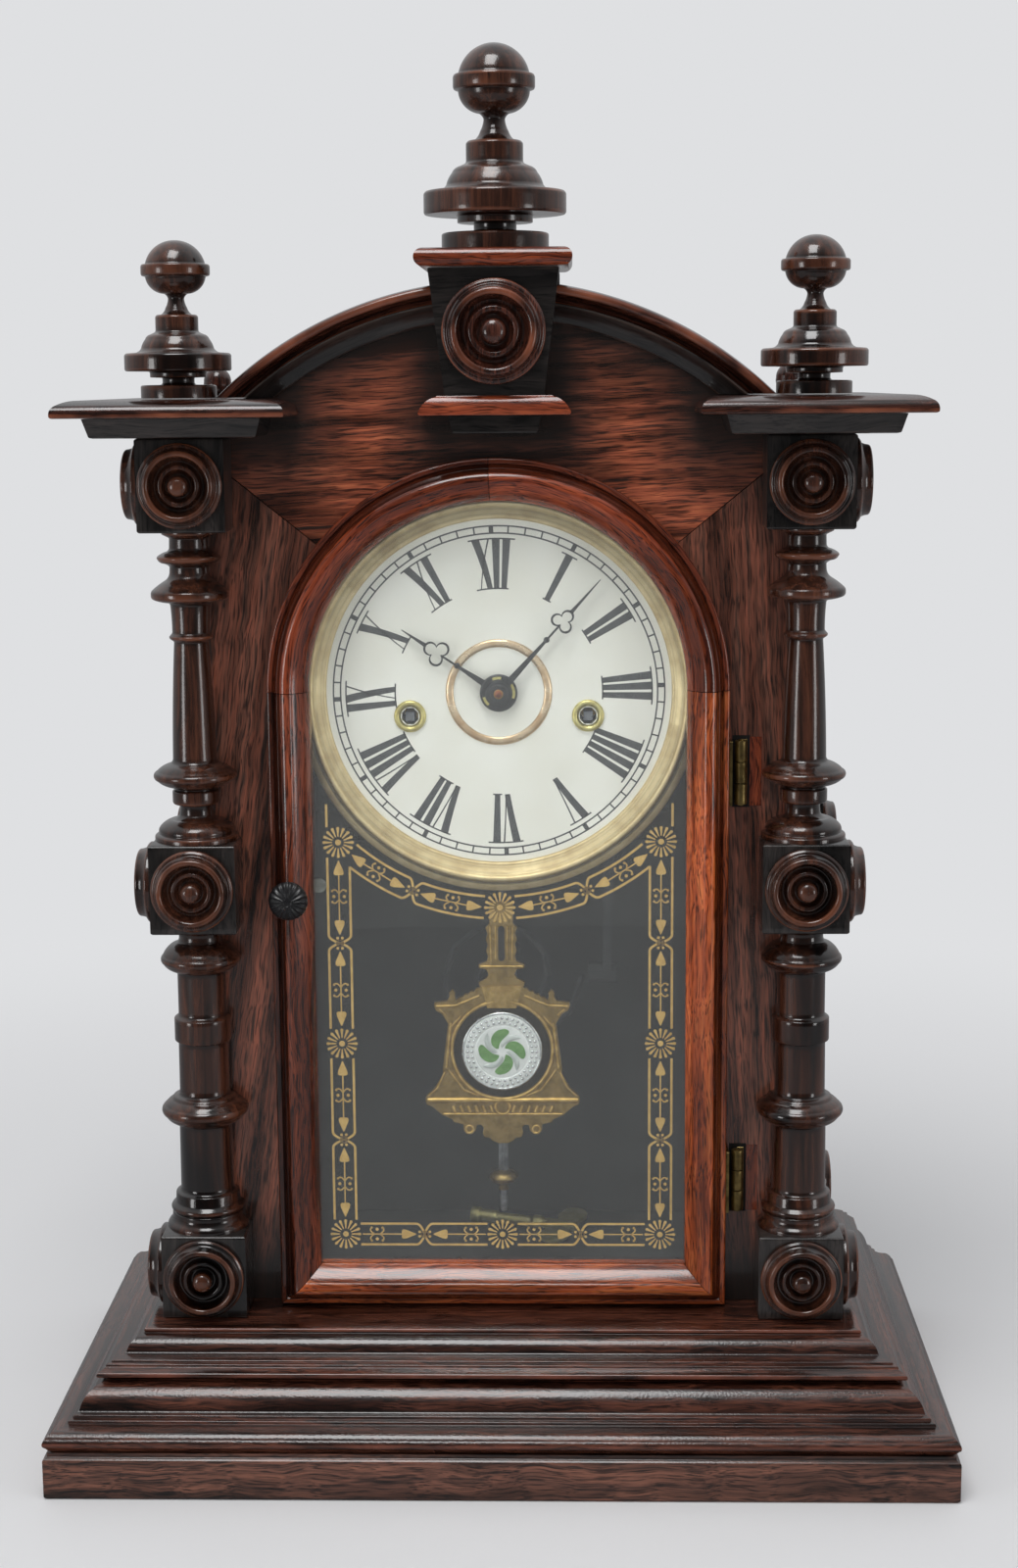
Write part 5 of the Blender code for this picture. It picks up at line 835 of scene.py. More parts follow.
# painted shade: brass made nearly black, for the movement's front plate seen in the dark of the case and for
# the bob's sunk ring
shaded_brass = metal("brass_painted_shade", "brass", "#38332a", "#25221b", 0.5, 6.0)
copper = metal("copper_arbor_end", "brass", "#9a6148", "#6e4536", 0.34, 1.5)
steel = metal("blued_steel_dark", "black_steel", "#3a3d42", "#24262a", 0.32, 4.0)
spring = metal("spring_steel", "spring_steel", "#8d9095", "#6a6d72", 0.28, 6.0)
dull_rod = metal("steel_rod_dull", "black_steel", "#8a8d90", "#5c5f62", 0.45, 5.0)
zinc = metal("zinc_latch", "black_knob", "#b4b6ac", "#94968c", 0.5, 3.0)
silver = metal("silvered_beads", "bob_disc", "#eceeee", "#c4c9c8", 0.16, 2.0)
dial_paint = coated("dial_enamel_paint", "dial_paint", "#eeeee6", "#e4e3d8", 0.42, 22.0)
print_black = coated("dial_printing_ink", "dial_paint", "#47494b", "#3a3c3e", 0.5, 3.0)
hand_black = coated("hand_black_lacquer", "black_steel", "#2c2e31", "#1c1d1f", 0.32, 3.0)
gold_paint = coated("gold_stencil_paint", "glass", "#cca95e", "#b5924a", 0.45, 2.5, 0.1)
case_black = coated("case_lining_paint", "inner_wood", "#404343", "#363939", 0.75, 18.0)
dull_black = coated("steel_blackened", "black_steel", "#46494a", "#3c3f40", 0.7, 6.0)
# painted shade: near black for the dark inside of the bob's slot and of the hinges' mortises
recess_shade = coated("recess_painted_shade", "rosewood", "#0d0a08", "#070504", 0.7, 3.0)
knob_black = coated("knob_black_horn", "black_knob", "#1d1d1f", "#121213", 0.24, 2.0)
milk_glass = coated("milk_glass", "bob_disc", "#e6e9e7", "#d2d7d4", 0.12, 4.0)
pale_glass = coated("pressed_glass_pale", "bob_disc", "#c3cac6", "#aab2ae", 0.14, 2.0)
green_glass = coated("green_pressed_glass", "bob_disc", "#6d9a5a", "#557f45", 0.16, 2.0)
clear_glass = window_glass()


# Dial, bezel and hands


def flat(grid, y):
    """A grid of (x, z) in mm laid on the plane at depth y, looking forwards."""
    points = np.stack([grid[..., 0], np.full(grid.shape[:2], y), grid[..., 1]], -1) * MM
    return surface(points, 0.0, UP, facing=FORWARD)


def ribbon(path, width):
    """A line in the plane: its path moved half the width to both sides along the normal."""
    way = np.gradient(path, axis=0)
    way /= np.linalg.norm(way, axis=1, keepdims=True)
    across = np.stack([-way[:, 1], way[:, 0]], 1) * np.reshape(width, (-1, 1)) / 2
    return np.stack([path - across, path + across])


def dot(middle, radius, count=12):
    """A round spot between its lower and upper halves, z = +-sqrt(r^2 - x^2)."""
    turn = np.linspace(0.06, math.pi - 0.06, count)
    half = np.stack([np.cos(turn), np.sin(turn)], 1) * radius
    return np.array(middle) + np.stack([half * (1, -1), half])


def round_path(middle, radius, start, end, count=48):
    """Points of an arc in (x, z)."""
    turn = np.radians(np.linspace(start, end, count))
    return np.stack([middle[0] + radius * np.cos(turn), middle[1] + radius * np.sin(turn)], 1)


def plate(edge, front, rear):
    """An outline (x, z) in mm as a plate between two depths."""
    rows = [np.stack([edge[:, 0], np.full(len(edge), y), edge[:, 1]], 1) for y in (rear, front)]
    return prism(rows)


def on_dial(grid, turn, middle):
    """Numeral coordinates (x across, r outwards) bent round the dial: angle = turn + x / middle."""
    angle = turn + grid[..., 0] / middle
    return np.stack([grid[..., 1] * np.sin(angle), DIAL_Z + grid[..., 1] * np.cos(angle)], -1)


INK = DIAL_FACE - 0.03
NUMERAL_FOOT, NUMERAL_HEAD = 34.7, 51.2
TRACK_INNER, TRACK_OUTER, TRACK_LINE, HOUR_MARK = 53.0, 55.4, 0.52, 1.5
PRINT_TURN = math.radians(-2.3)  # the dial sits a little turned on its plate
THICK, THIN, SERIF = 2.2, 0.45, 0.5
ADVANCE = {"I": 3.0, "V": 5.2, "X": 5.4}
NUMERALS = ("XII", "I", "II", "III", "IIII", "V", "VI", "VII", "VIII", "IX", "X", "XI")


def stroke(foot, head, width):
    """A straight stroke from (x at the foot) to (x at the head)."""
    edge = np.array([[-width / 2, NUMERAL_FOOT], [width / 2, NUMERAL_FOOT]])
    top = np.array([[-width / 2, NUMERAL_HEAD], [width / 2, NUMERAL_HEAD]])
    share = np.linspace(0, 1, 6)[:, None, None]
    return (edge + (foot, 0)) * (1 - share) + (top + (head, 0)) * share


def numeral(word):
    """The strokes and serifs of one numeral, centred on x = 0."""
    grids, stems, x = [], [], 0.0
    for letter in word:
        wide = ADVANCE[letter]
        left, right, middle = x + 0.6, x + wide - 0.6, x + wide / 2
        if letter == "I":
            grids.append(stroke(middle, middle, THICK))
            stems.append(middle)
        elif letter == "V":
            grids += [stroke(middle, left + 0.4, THICK), stroke(middle + 0.6, right, THIN)]
        else:
            grids += [stroke(right - 0.5, left + 0.5, THICK), stroke(left, right, THIN)]
            stems += [left, right]
        x += wide
    bars = [(NUMERAL_HEAD, -0.9, x + 0.9)]
    if stems:
        bars.append((NUMERAL_FOOT, min(stems) - 1.9, max(stems) + 1.9))
    for radius, start, end in bars:
        run = np.linspace(start, end, 10)
        grids.append(ribbon(np.stack([run, np.full(10, radius)], 1), SERIF))
    return [grid - (x / 2, 0) for grid in grids]


ink = []
middle_radius = (NUMERAL_FOOT + NUMERAL_HEAD) / 2
for hour, word in enumerate(NUMERALS):
    turn = PRINT_TURN + hour * math.pi / 6
    ink += [flat(on_dial(grid, turn, middle_radius), INK) for grid in numeral(word)]
circle = np.linspace(0, 2 * np.pi, 181)
for radius in (TRACK_INNER, TRACK_OUTER):
    ring = np.stack([radius * np.sin(circle), DIAL_Z + radius * np.cos(circle)], 1)
    ink.append(flat(ribbon(ring, TRACK_LINE), INK))
for minute in range(60):
    turn = PRINT_TURN + minute * math.pi / 30
    way = np.array((math.sin(turn), math.cos(turn)))
    mark = np.array([[0, DIAL_Z] + way * r for r in (TRACK_INNER, TRACK_OUTER)])
    ink.append(flat(ribbon(mark, TRACK_LINE if minute % 5 else HOUR_MARK), INK))
make("dial_printing", ink, print_black, "case")

dial_centre = at(0, DIAL_FACE, DIAL_Z)
SQUARE_HALF = 1.5
bezel_line = profile((67.6, -0.2), (67.6, 0.7), (67.2, 1.3, 0.3), (64.9, 1.9, 0.1), (64.5, 1.7),
                     (64.3, 2.6), (63.9, 3.9, 0.2), (63.0, 4.5, 0.35), (62.0, 3.9, 0.3), (61.7, 3.4),
                     (58.7, 1.7, -0.05), (58.4, 1.7), (57.8, 0.9, 0.4), (57.7, -0.2), softness=0.15,
                     step=0.3)
bezel = turned(bezel_line, dial_centre, FORWARD, 160, ring=True)
make("spun_bezel", [bezel], bezel_brass, "case", "dial_bezel")
ring_line = profile((17.8, -0.4), (17.8, 0.15), (16.4, 0.75, 0.3), (15.0, 0.15, 0.3), (14.9, -0.4),
                    softness=0.1)
make("dial_centre_ring", [turned(ring_line, dial_centre, FORWARD, 120, ring=True)], rose_brass, "case")
eyelet_line = profile((5.4, -0.2), (5.4, 0.3), (4.4, 1.1, 0.4), (3.5, 0.5, 0.3), (2.8, -0.4), (2.7, -3.0),
                      softness=0.1, step=0.25)
for word in ("time", "strike"):
    low, high = extent("winding_grommet_" + word)
    x, z = (low[0] + high[0]) / 2, (low[2] + high[2]) / 2
    eyelet = turned(eyelet_line, at(x, DIAL_FACE, z), FORWARD, 64, ring=True)
    make("eyelet_" + word, [eyelet], eyelet_brass, "case", "winding_grommet_" + word)
    square = plate(np.array(ALL_ROUND) * -SQUARE_HALF + (x, z), DIAL_FACE - 0.5, DIAL_FACE + 1.5)
    make("winding_square_" + word, [square], spring, word + "_winding")


def bar(widths, runs, y, thick):
    """A tapering bar along +z, as loops of four corners: half the width to each side at each run."""
    half, run = np.array(widths) / 2, np.array(runs)
    front, rear = np.full(len(run), y), np.full(len(run), y + thick)
    edges = ((-half, front, run), (half, front, run), (half, rear, run), (-half, rear, run))
    return np.stack([np.stack(edge, 1) for edge in edges], 1)


def trefoil(middle, y, thick, size, line=0.74):
    """An open clover, as a loop of its wire's section.

    The edge is that of three circles: r = d cos a + sqrt(l^2 - d^2 sin^2 a).
    """
    lobe, out = 1.62 * size, 1.75 * size
    turn = np.linspace(0, 2 * np.pi, 97)[:-1]
    from_lobe = (turn + np.pi / 3) % (2 * np.pi / 3) - np.pi / 3
    edge = out * np.cos(from_lobe) + np.sqrt(np.maximum(lobe ** 2 - (out * np.sin(from_lobe)) ** 2, 0))
    loops = []
    for side, deep in ((line / 2, y), (line / 2, y + thick), (-line / 2, y + thick), (-line / 2, y)):
        across, along = (edge + side) * np.sin(turn), (edge + side) * np.cos(turn)
        loops.append(np.stack([across, np.full_like(turn, deep), middle + along], 1))
    return np.stack(loops, 1)


def hand(name, turn, y, bead, clover, size, tip, body, cad_name):
    """A clock hand: taper, bead, thin neck, open clover and long point, turned clockwise by an angle."""
    thick, root = 0.5, 4.6
    end = clover + 3.5 * size
    parts = [bar((2.3, 0.9), (root, bead), y, thick), bar((0.7, 0.7), (bead, clover - 1.5 * size), y, thick),
             bar((1.35, 0.95, 0.26), (end - 0.4, end + 3.0, tip), y, thick)]
    shapes = [surface(part, 0.0, UP, wrap_cols=True, caps=True) for part in parts]
    shapes.append(surface(trefoil(clover, y, thick, size), 0.0, UP, wrap_rows=True, wrap_cols=True))
    knot = profile((1.0, -0.6), (1.0, -0.1), (0.0, 0.35, 0.3), softness=0.05, step=0.2)
    round_bead = turned(knot, at(0, y, bead), FORWARD, 20)
    shapes.append(round_bead._replace(points=round_bead.points / MM))
    c, s = math.cos(turn), math.sin(turn)
    placed = []
    for shape in shapes:
        x, deep, z = shape.points.T
        placed.append(shape._replace(points=np.stack([x * c + z * s, deep, DIAL_Z - x * s + z * c], 1) * MM))
    make(name, placed, hand_black, body, cad_name)


MINUTE_TURN, HOUR_TURN = math.radians(42), math.radians(303.5)
hand("minute_hand_pierced", MINUTE_TURN, -24.2, 24.0, 32.4, 1.15, 50.8, "minute_train", "minute_hand")
hand("hour_hand_pierced", HOUR_TURN, -22.7, 16.6, 24.8, 1.28, 38.6, "hour_train", "hour_hand")
collet = profile((6.3, 0.0), (6.3, 0.5), (5.8, 0.9, 0.2), (2.0, 1.0), softness=0.15)
make("hour_collet", [turned(collet, at(0, -22.1, DIAL_Z), FORWARD, 48)], hand_black, "hour_train")
marks = [round_path((0, DIAL_Z), 5.1, start, start + 34, 8) for start in (-20, 15, 80, 195)]
make("collet_brass_marks", [flat(ribbon(mark, 0.9), -23.14) for mark in marks], eyelet_brass, "hour_train")
hub = profile((4.4, 0.0), (4.4, 0.5), (4.0, 0.8, 0.3), (2.0, 0.9), softness=0.1)
make("minute_hub", [turned(hub, at(0, -23.6, DIAL_Z), FORWARD, 40)], hand_black, "minute_train")
nut = turned(profile((3.2, 0.0), (3.2, 0.5), (2.7, 0.95, 0.2), (1.7, 1.05), softness=0.1),
             at(0, -24.5, DIAL_Z), FORWARD, 32)
make("hand_nut_turned", [nut], hand_black, "minute_train", "hand_nut")
tip = profile((1.6, 0.0), (1.6, 0.9), (0.0, 1.5, 0.25), softness=0.1, step=0.2)
make("arbor_end", [turned(tip, at(0, -24.9, DIAL_Z), FORWARD, 24)], copper, "minute_train")


# Gold stencil on the back of the glass

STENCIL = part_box("door_glass")[1][1] / MM + 0.05
BAND, LINE = 3.75, 0.8
RAIL_START, CORNER_START = 5.2, 8.3   # mm from a flower; later where a column meets the swag
COLUMN_LINE, FOOT_LINE, MIDDLE_LINE, SHOULDER_LINE = 54.0, 72.0, 139.8, 209.4
ARC_RADIUS, ARC_Z = 76.3, 263.3


def flower():
    """A daisy: sixteen thin petals with round tips, and an eye."""
    run = np.array((2.0, 3.2, 4.3, 4.75, 5.1, 5.3))
    wide = np.array((0.19, 0.26, 0.40, 0.52, 0.42, 0.14))
    petal = np.stack([np.stack([run, wide * side], 1) for side in (-1, 1)])
    grids = [dot((0, 0), 1.0)]
    for k in range(16):
        c, s = math.cos(k * math.pi / 8), math.sin(k * math.pi / 8)
        grids.append(petal @ np.array(((c, s), (-s, c))))
    return grids


def bay(length, starts=(RAIL_START, RAIL_START), two_arrows=True):
    """Half a bay in (s along, t across), from a flower to a crossing: rails, arrows, stem and scrolls.

    starts is where the rails on the sides t < 0 and t > 0 begin. Without two_arrows the scrolls stand next
    to the flower.
    """
    turn = np.linspace(0, 1, 10)
    swing = np.stack([length - 2.8 + 2.8 * turn, BAND * np.cos(turn * math.pi / 2) ** 0.8], 1)
    grids = []
    for side, start in zip((-1, 1), starts):
        run = np.linspace(start, length - 2.8, 12)[:-1]
        rail = np.concatenate([np.stack([run, np.full(11, BAND)], 1), swing])
        grids.append(ribbon(rail * (1, side), LINE))
    middle = length / 2 + 1.2 if two_arrows else 10.8
    arrows = [(length - 2.9, -1)] + [(6.2, 1)] * two_arrows
    for point, back in arrows:
        run = np.array((0.0, 1.4, 3.4, 4.5, 5.0))
        wide = np.array((0.1, 0.7, 1.55, 1.7, 1.2))
        head = np.stack([point + back * run, np.zeros(5)], 1)
        spread = np.stack([0 * wide, wide], 1)
        grids.append(np.stack([head - spread, head + spread]))
    grids.append(ribbon(np.array([[11.0 if two_arrows else 5.8, 0.0], [length - 7.6, 0.0]]), 0.46))
    sweep = np.linspace(0, 1, 12)
    hook = np.stack([0.9 + 1.4 * np.sin(0.75 * math.pi * sweep), 2.3 * sweep], 1)
    for across in (-1, 1):
        grids.append(dot((middle, across * 1.75), 0.55))
        grids.append(dot((length - 1.75, across * 0.8), 0.5))
        for along in (-1, 1):
            grids.append(ribbon(hook * (along, across) + (middle, 0), np.linspace(0.4, 0.55, 12)))
            grids.append(dot(hook[-1] * (along, across) + (middle, 0), 0.42))
    knot = np.linspace(0, 2 * np.pi, 17)
    grids.append(ribbon(np.stack([length + 1.1 * np.cos(knot), 1.1 * np.sin(knot)], 1), 0.45))
    return grids


def straight_band(start, way):
    """Places (s, t) along a straight band from a flower."""
    start, way = np.array(start, float), np.array(way, float)
    across = np.array((-way[1], way[0]))
    return lambda grid: start + grid[..., :1] * way + grid[..., 1:] * across


def arc_band(turn, back):
    """Places (s, t) along the curved band under the dial; t is outwards."""
    def place(grid):
        """The angle is turn + s / radius, to one side or the other."""
        angle = turn + back * grid[..., 0] / ARC_RADIUS
        radius = ARC_RADIUS + grid[..., 1]
        return np.stack([radius * np.sin(angle), ARC_Z - radius * np.cos(angle)], -1)
    return place


def shifted(x, z):
    """Places (s, t) about a flower's middle."""
    return lambda grid: grid + (x, z)


def stencil(place, grids):
    """Grids put in their place on the back of the glass."""
    return [flat(place(grid), STENCIL) for grid in grids]


gold = []
RISE_FOOT, RISE_TOP = 5.2, 13.0  # mm above the shoulder's flower: the line that runs up past it
for side in (-1, 1):
    x = side * COLUMN_LINE
    for z in (SHOULDER_LINE, MIDDLE_LINE, FOOT_LINE):
        gold += stencil(shifted(x, z), flower())
    for z, way, length in ((MIDDLE_LINE, 1, 35.0), (MIDDLE_LINE, -1, 34.0), (FOOT_LINE, 1, 33.8)):
        gold += stencil(straight_band((x, z), (0, way)), bay(length))
    starts = (RAIL_START, CORNER_START)[::-side]
    gold += stencil(straight_band((x, SHOULDER_LINE), (0, -1)), bay(34.6, starts))
    for start, way, length in ((x, -side, 27.2), (0, side, 26.8)):
        gold += stencil(straight_band((start, FOOT_LINE), (way, 0)), bay(length, two_arrows=False))
    edge = math.asin(COLUMN_LINE / ARC_RADIUS)
    half = edge * ARC_RADIUS / 2
    gold += stencil(arc_band(side * edge, -side), bay(half, (RAIL_START, CORNER_START)))
    gold += stencil(arc_band(0, side), bay(half))
    rise = np.array([[x + side * BAND, SHOULDER_LINE + z] for z in (RISE_FOOT, RISE_TOP)])
    gold.append(flat(ribbon(rise, LINE), STENCIL))
for z in (FOOT_LINE, ARC_Z - ARC_RADIUS):
    gold += stencil(shifted(0, z), flower())
make("gold_stencil_border", gold, gold_paint, "door")


# Pendulum

BOB_FACE, BOB_REAR = -16.3, -14.3
BOB_TARNISH = -0.5              # of the stamped ground, between a hollow and a ridge
GLASS_Z = 133.8
bob_half = np.array((
    (4.0, 186.0), (4.0, 178.4), (5.4, 177.0), (4.7, 175.0), (5.3, 173.0), (4.6, 171.0), (5.2, 169.0),
    (4.6, 167.0), (5.0, 165.2), (7.8, 164.0), (7.8, 163.0), (5.2, 162.4), (4.4, 160.6), (5.2, 159.2),
    (7.9, 157.8), (7.4, 155.9), (8.8, 155.6), (9.4, 154.6), (10.8, 154.7), (11.4, 153.6), (12.8, 153.6),
    (13.4, 152.5), (14.6, 152.4), (15.8, 151.4), (16.2, 153.0), (16.0, 154.0), (17.0, 155.2),
    (18.1, 154.0), (17.9, 152.8), (18.8, 151.2), (23.2, 150.6), (23.4, 149.6), (22.6, 147.8),
    (20.6, 146.6), (19.2, 144.4), (18.6, 143.2), (20.6, 127.0), (20.4, 124.6), (21.6, 123.2),
    (23.2, 120.4), (26.4, 117.2), (26.7, 116.0), (26.3, 114.4), (24.4, 113.6), (21.0, 110.6),
    (17.4, 109.0), (17.0, 108.0), (15.2, 107.6), (13.6, 107.2), (13.6, 105.0), (12.4, 103.6),
    (10.6, 103.7), (9.4, 105.0), (9.0, 107.0), (7.4, 107.0), (6.6, 106.0), (7.0, 104.0), (6.4, 102.6),
    (4.6, 102.4), (3.4, 101.2), (1.4, 100.4)))
bob_edge = np.concatenate([bob_half, (bob_half * (-1, 1))[::-1]])


def bead(path, width, height, y):
    """A half round bead pressed up along a path: height h sqrt(1 - u^2) over u from edge to edge."""
    path = np.array(path, float)
    way = np.gradient(path, axis=0)
    way /= np.linalg.norm(way, axis=1, keepdims=True)
    across = np.stack([-way[:, 1], way[:, 0]], 1)
    share = np.linspace(-1, 1, 7)[:, None]
    x, z = np.moveaxis(path[None] + share[..., None] * (across * width)[None] / 2, -1, 0)
    deep = y - height * np.sqrt(1 - share ** 2) * np.ones(len(path))
    return surface(np.stack([x, deep, z], -1) * MM, 1 - 1.7 * share ** 2, UP, facing=FORWARD)


def label(foot, foot_half, top, top_half, front, rear):
    """A raised panel with sloping sides on the bob's neck."""
    edge = ((-foot_half, foot), (foot_half, foot), (top_half, top), (-top_half, top))
    return plate(np.array(edge), front, rear)


SIDE_BEADS = (                  # path, width and height of each bead, for the right half
    (((17.6, 143.6), (19.4, 127.4)), 1.1, 0.5),
    (((22.6, 149.4), (16.0, 149.6), (7.6, 153.2)), 1.0, 0.5),
    (((19.2, 146.2), (21.6, 148.4)), 0.8, 0.4),
    (((19.8, 126.0), (22.4, 120.4), (25.6, 117.4)), 1.0, 0.5),
    (((18.6, 126.8), (13.4, 119.6), (8.2, 117.5)), 0.9, 0.45),
    (((18.2, 141.4), (14.2, 145.8)), 0.9, 0.45),
    (((3.9, 177.6), (3.6, 165.4)), 0.7, 0.4),
    (((2.0, 177.6), (2.0, 166.0)), 0.6, 0.4))
LEVEL_BEADS = ((26.0, 115.9, 2.0, 0.9), (20.6, 110.9, 0.9, 0.5), (7.3, 163.5, 1.0, 0.6))
ground = plate(bob_edge, BOB_FACE, BOB_REAR)
relief = [ground._replace(ridge=np.full(len(ground.points), BOB_TARNISH)),
          bead(round_path((0, GLASS_Z), 17.4, 0, 360, 97), 1.4, 0.8, BOB_FACE),
          label(148.9, 5.0, 156.6, 6.9, BOB_FACE - 0.7, BOB_FACE),
          label(150.0, 2.6, 155.2, 3.6, BOB_FACE - 1.1, BOB_FACE - 0.7)]
for half, z, width, height in LEVEL_BEADS:
    relief.append(bead(((-half, z), (0, z), (half, z)), width, height, BOB_FACE))
relief.append(bead(round_path((0, 113.4), 2.5, 0, 360, 33), 1.2, 0.8, BOB_FACE))
for side in (-1, 1):
    for path, width, height in SIDE_BEADS:
        relief.append(bead(np.array(path) * (side, 1), width, height, BOB_FACE))
    relief.append(bead(round_path((side * 11.6, 105.4), 1.3, 0, 360, 25), 0.9, 0.5, BOB_FACE))
    for k in range(6):
        x = side * (4.4 + 2.6 * k)
        relief.append(bead(((x, 114.2 - 0.05 * k), (x - side * 0.9, 111.6)), 1.3, 0.7, BOB_FACE))
make("stamped_bob", relief, stamped_brass, "pendulum", "pendulum_bob", sharp=50)
# painted shade: a dark flat ring laid over the sunk ring round the glass, whose deep hollow lies in shade
sunk_ring_shade = ribbon(round_path((0, GLASS_Z), 15.2, 0, 360, 97), 2.9)
make("bob_sunk_ring", [flat(sunk_ring_shade, BOB_FACE - 0.02)], shaded_brass, "pendulum")
slot_path = np.concatenate([round_path((0, 176.6), 1.1, 180, 0, 10),
                            round_path((0, 166.4), 1.1, 0, -180, 10)])
# painted shade: a thin dark plate over the slot, whose inside lies in shade
make("bob_slot_shade", [plate(slot_path, BOB_FACE - 0.08, BOB_FACE)], recess_shade, "pendulum")

GLASS_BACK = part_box("bob_glass")[1][1] / MM
glass_place = at(0, GLASS_BACK, GLASS_Z)
disc_line = profile((13.4, -0.2), (13.4, 0.7), (12.6, 1.3, 0.3), (9.7, 1.6), (9.4, 1.3), (9.1, 1.5),
                    (0.0, 1.75, 0.02), softness=0.1)
make("bob_milk_glass", [turned(disc_line, glass_place, FORWARD, 96)], milk_glass, "pendulum", "bob_glass")
rim = profile((13.9, -0.3), (13.9, 0.9), (13.4, 1.4, 0.4), (12.9, 1.0, 0.4), (12.8, 0.0), softness=0.1,
              step=0.25)
bead_line = profile((0.62, 0.0), (0.45, 0.45, 0.2), (0.0, 0.62, 0.2), softness=0)
beads = [turned(rim, glass_place, FORWARD, 96, ring=True)]
for count, radius in ((40, 11.9), (34, 10.4)):
    for turn in np.linspace(0, 2 * np.pi, count, endpoint=False):
        spot = glass_place + at(radius * math.cos(turn), -1.35, radius * math.sin(turn))
        beads.append(turned(bead_line, spot, FORWARD, 8))
make("bob_glass_beading", beads, silver, "pendulum")
BLADE_TURN, BLADE_CURL = 1.97, 0.15  # radians, and radians per mm outwards
run = np.linspace(1.6, 8.2, 20)
spread = 0.5 * np.sqrt(np.maximum(1 - ((run - 4.9) / 3.3) ** 2, 0.01))
blades, between = [], []
for k in range(4):
    turn = math.pi / 2 * k + BLADE_TURN - BLADE_CURL * (run - 4.6)
    sweeps = (turn - spread, turn + spread)
    blade = np.stack([np.stack([run * np.cos(sweep), run * np.sin(sweep)], 1) for sweep in sweeps])
    blades.append(flat(blade + (0, GLASS_Z), GLASS_BACK - 1.82))
    turn += math.pi / 4
    spine = np.stack([run * np.cos(turn), run * np.sin(turn)], 1) + (0, GLASS_Z)
    between.append(bead(spine, 4.2 * spread[:, None], 0.35, GLASS_BACK - 1.72))
make("bob_pinwheel", blades, green_glass, "pendulum")
make("bob_pressed_blades", between, pale_glass, "pendulum")

ROD_Y = -12.9
make("pendulum_strip", [prism(bar((3.2, 3.2), (108.0, 89.4), -13.4, 1.0))], dull_rod, "pendulum")
nut_line = profile((1.1, 82.4), (1.8, 82.6), (1.8, 85.2), (3.8, 85.6), (4.8, 86.8, 0.3), (4.8, 88.0, 0.4),
                   (3.4, 89.2, 0.2), (1.1, 89.6), softness=0.15)
make("rating_nut_turned", [turned(nut_line, at(0, ROD_Y, 0), sides=36)], old_brass, "pendulum", "rating_nut")
end_line = profile((0.0, 74.6), (1.2, 75.4, 0.35), (1.5, 80.4), (1.2, 83.0), softness=0.1)
make("pendulum_rod_end", [turned(end_line, at(0, ROD_Y, 0), sides=24)], dull_rod, "pendulum")


# Knob, hinges, key and lining

low, high = extent("door_knob")
KNOB_X, KNOB_Z = -69.53, (low[2] + high[2]) / 2
KNOB_BASE, KNOB_FLUTES, FLUTE_DEPTH = -38.8, 18, 0.26
knob_place = at(KNOB_X, KNOB_BASE, KNOB_Z)
knob_line = profile((4.0, 0.0), (4.2, 1.0), (3.4, 1.8, -0.3), (4.6, 2.8, -0.1), (6.3, 4.0, 0.2),
                    (6.45, 5.0, 0.25), (5.6, 6.2, 0.15), (3.6, 7.2, 0.08), (1.4, 7.6), (1.1, 7.3),
                    (0.0, 7.5), softness=0.15)
knob = turned(knob_line, knob_place, FORWARD, 144)
# flutes are cut to a depth d (1 - cos(n t)) on the knob's face, fading towards its middle and its rim
spoke = (knob.points - knob_place)[:, [0, 2]]
radius = np.linalg.norm(spoke, axis=1) / MM
flute = np.cos(KNOB_FLUTES * np.arctan2(spoke[:, 1], spoke[:, 0]))
face = np.clip((KNOB_BASE - knob.points[:, 1] / MM - 4.4) / 1.2, 0, 1) * np.clip((radius - 1.6) / 1.2, 0, 1)
fluted = knob.points - (FLUTE_DEPTH * (1 - flute) * face * MM)[:, None] * np.array(FORWARD)
make("fluted_knob", [knob._replace(points=fluted)], knob_black, "knob", "door_knob")
spindle = turned(profile((1.4, 0.0), (1.4, 21.0), softness=0), knob_place, (0, 1, 0), 24)
latch = np.concatenate([round_path((KNOB_X, KNOB_Z), 1.5, 90, 270, 12),
                        round_path((KNOB_X + 7.8, KNOB_Z), 2.4, -90, 90, 12)])
make("knob_latch", [spindle, plate(latch, -18.9, -17.7)], zinc, "knob")

BARREL, PIN, BARREL_PLACE = 2.05, 0.9, (80.3, -29.4, 0)


def post(plan, foot, top, ease, inward=ALL_ROUND, grain=None):
    """An upright block on a rectangular plan, its ends eased."""
    levels = section((ease, foot), (0, foot + ease), (0, top - ease), (ease, top), softness=0)
    return moulded(levels, rectangle(*plan), inward, grain)


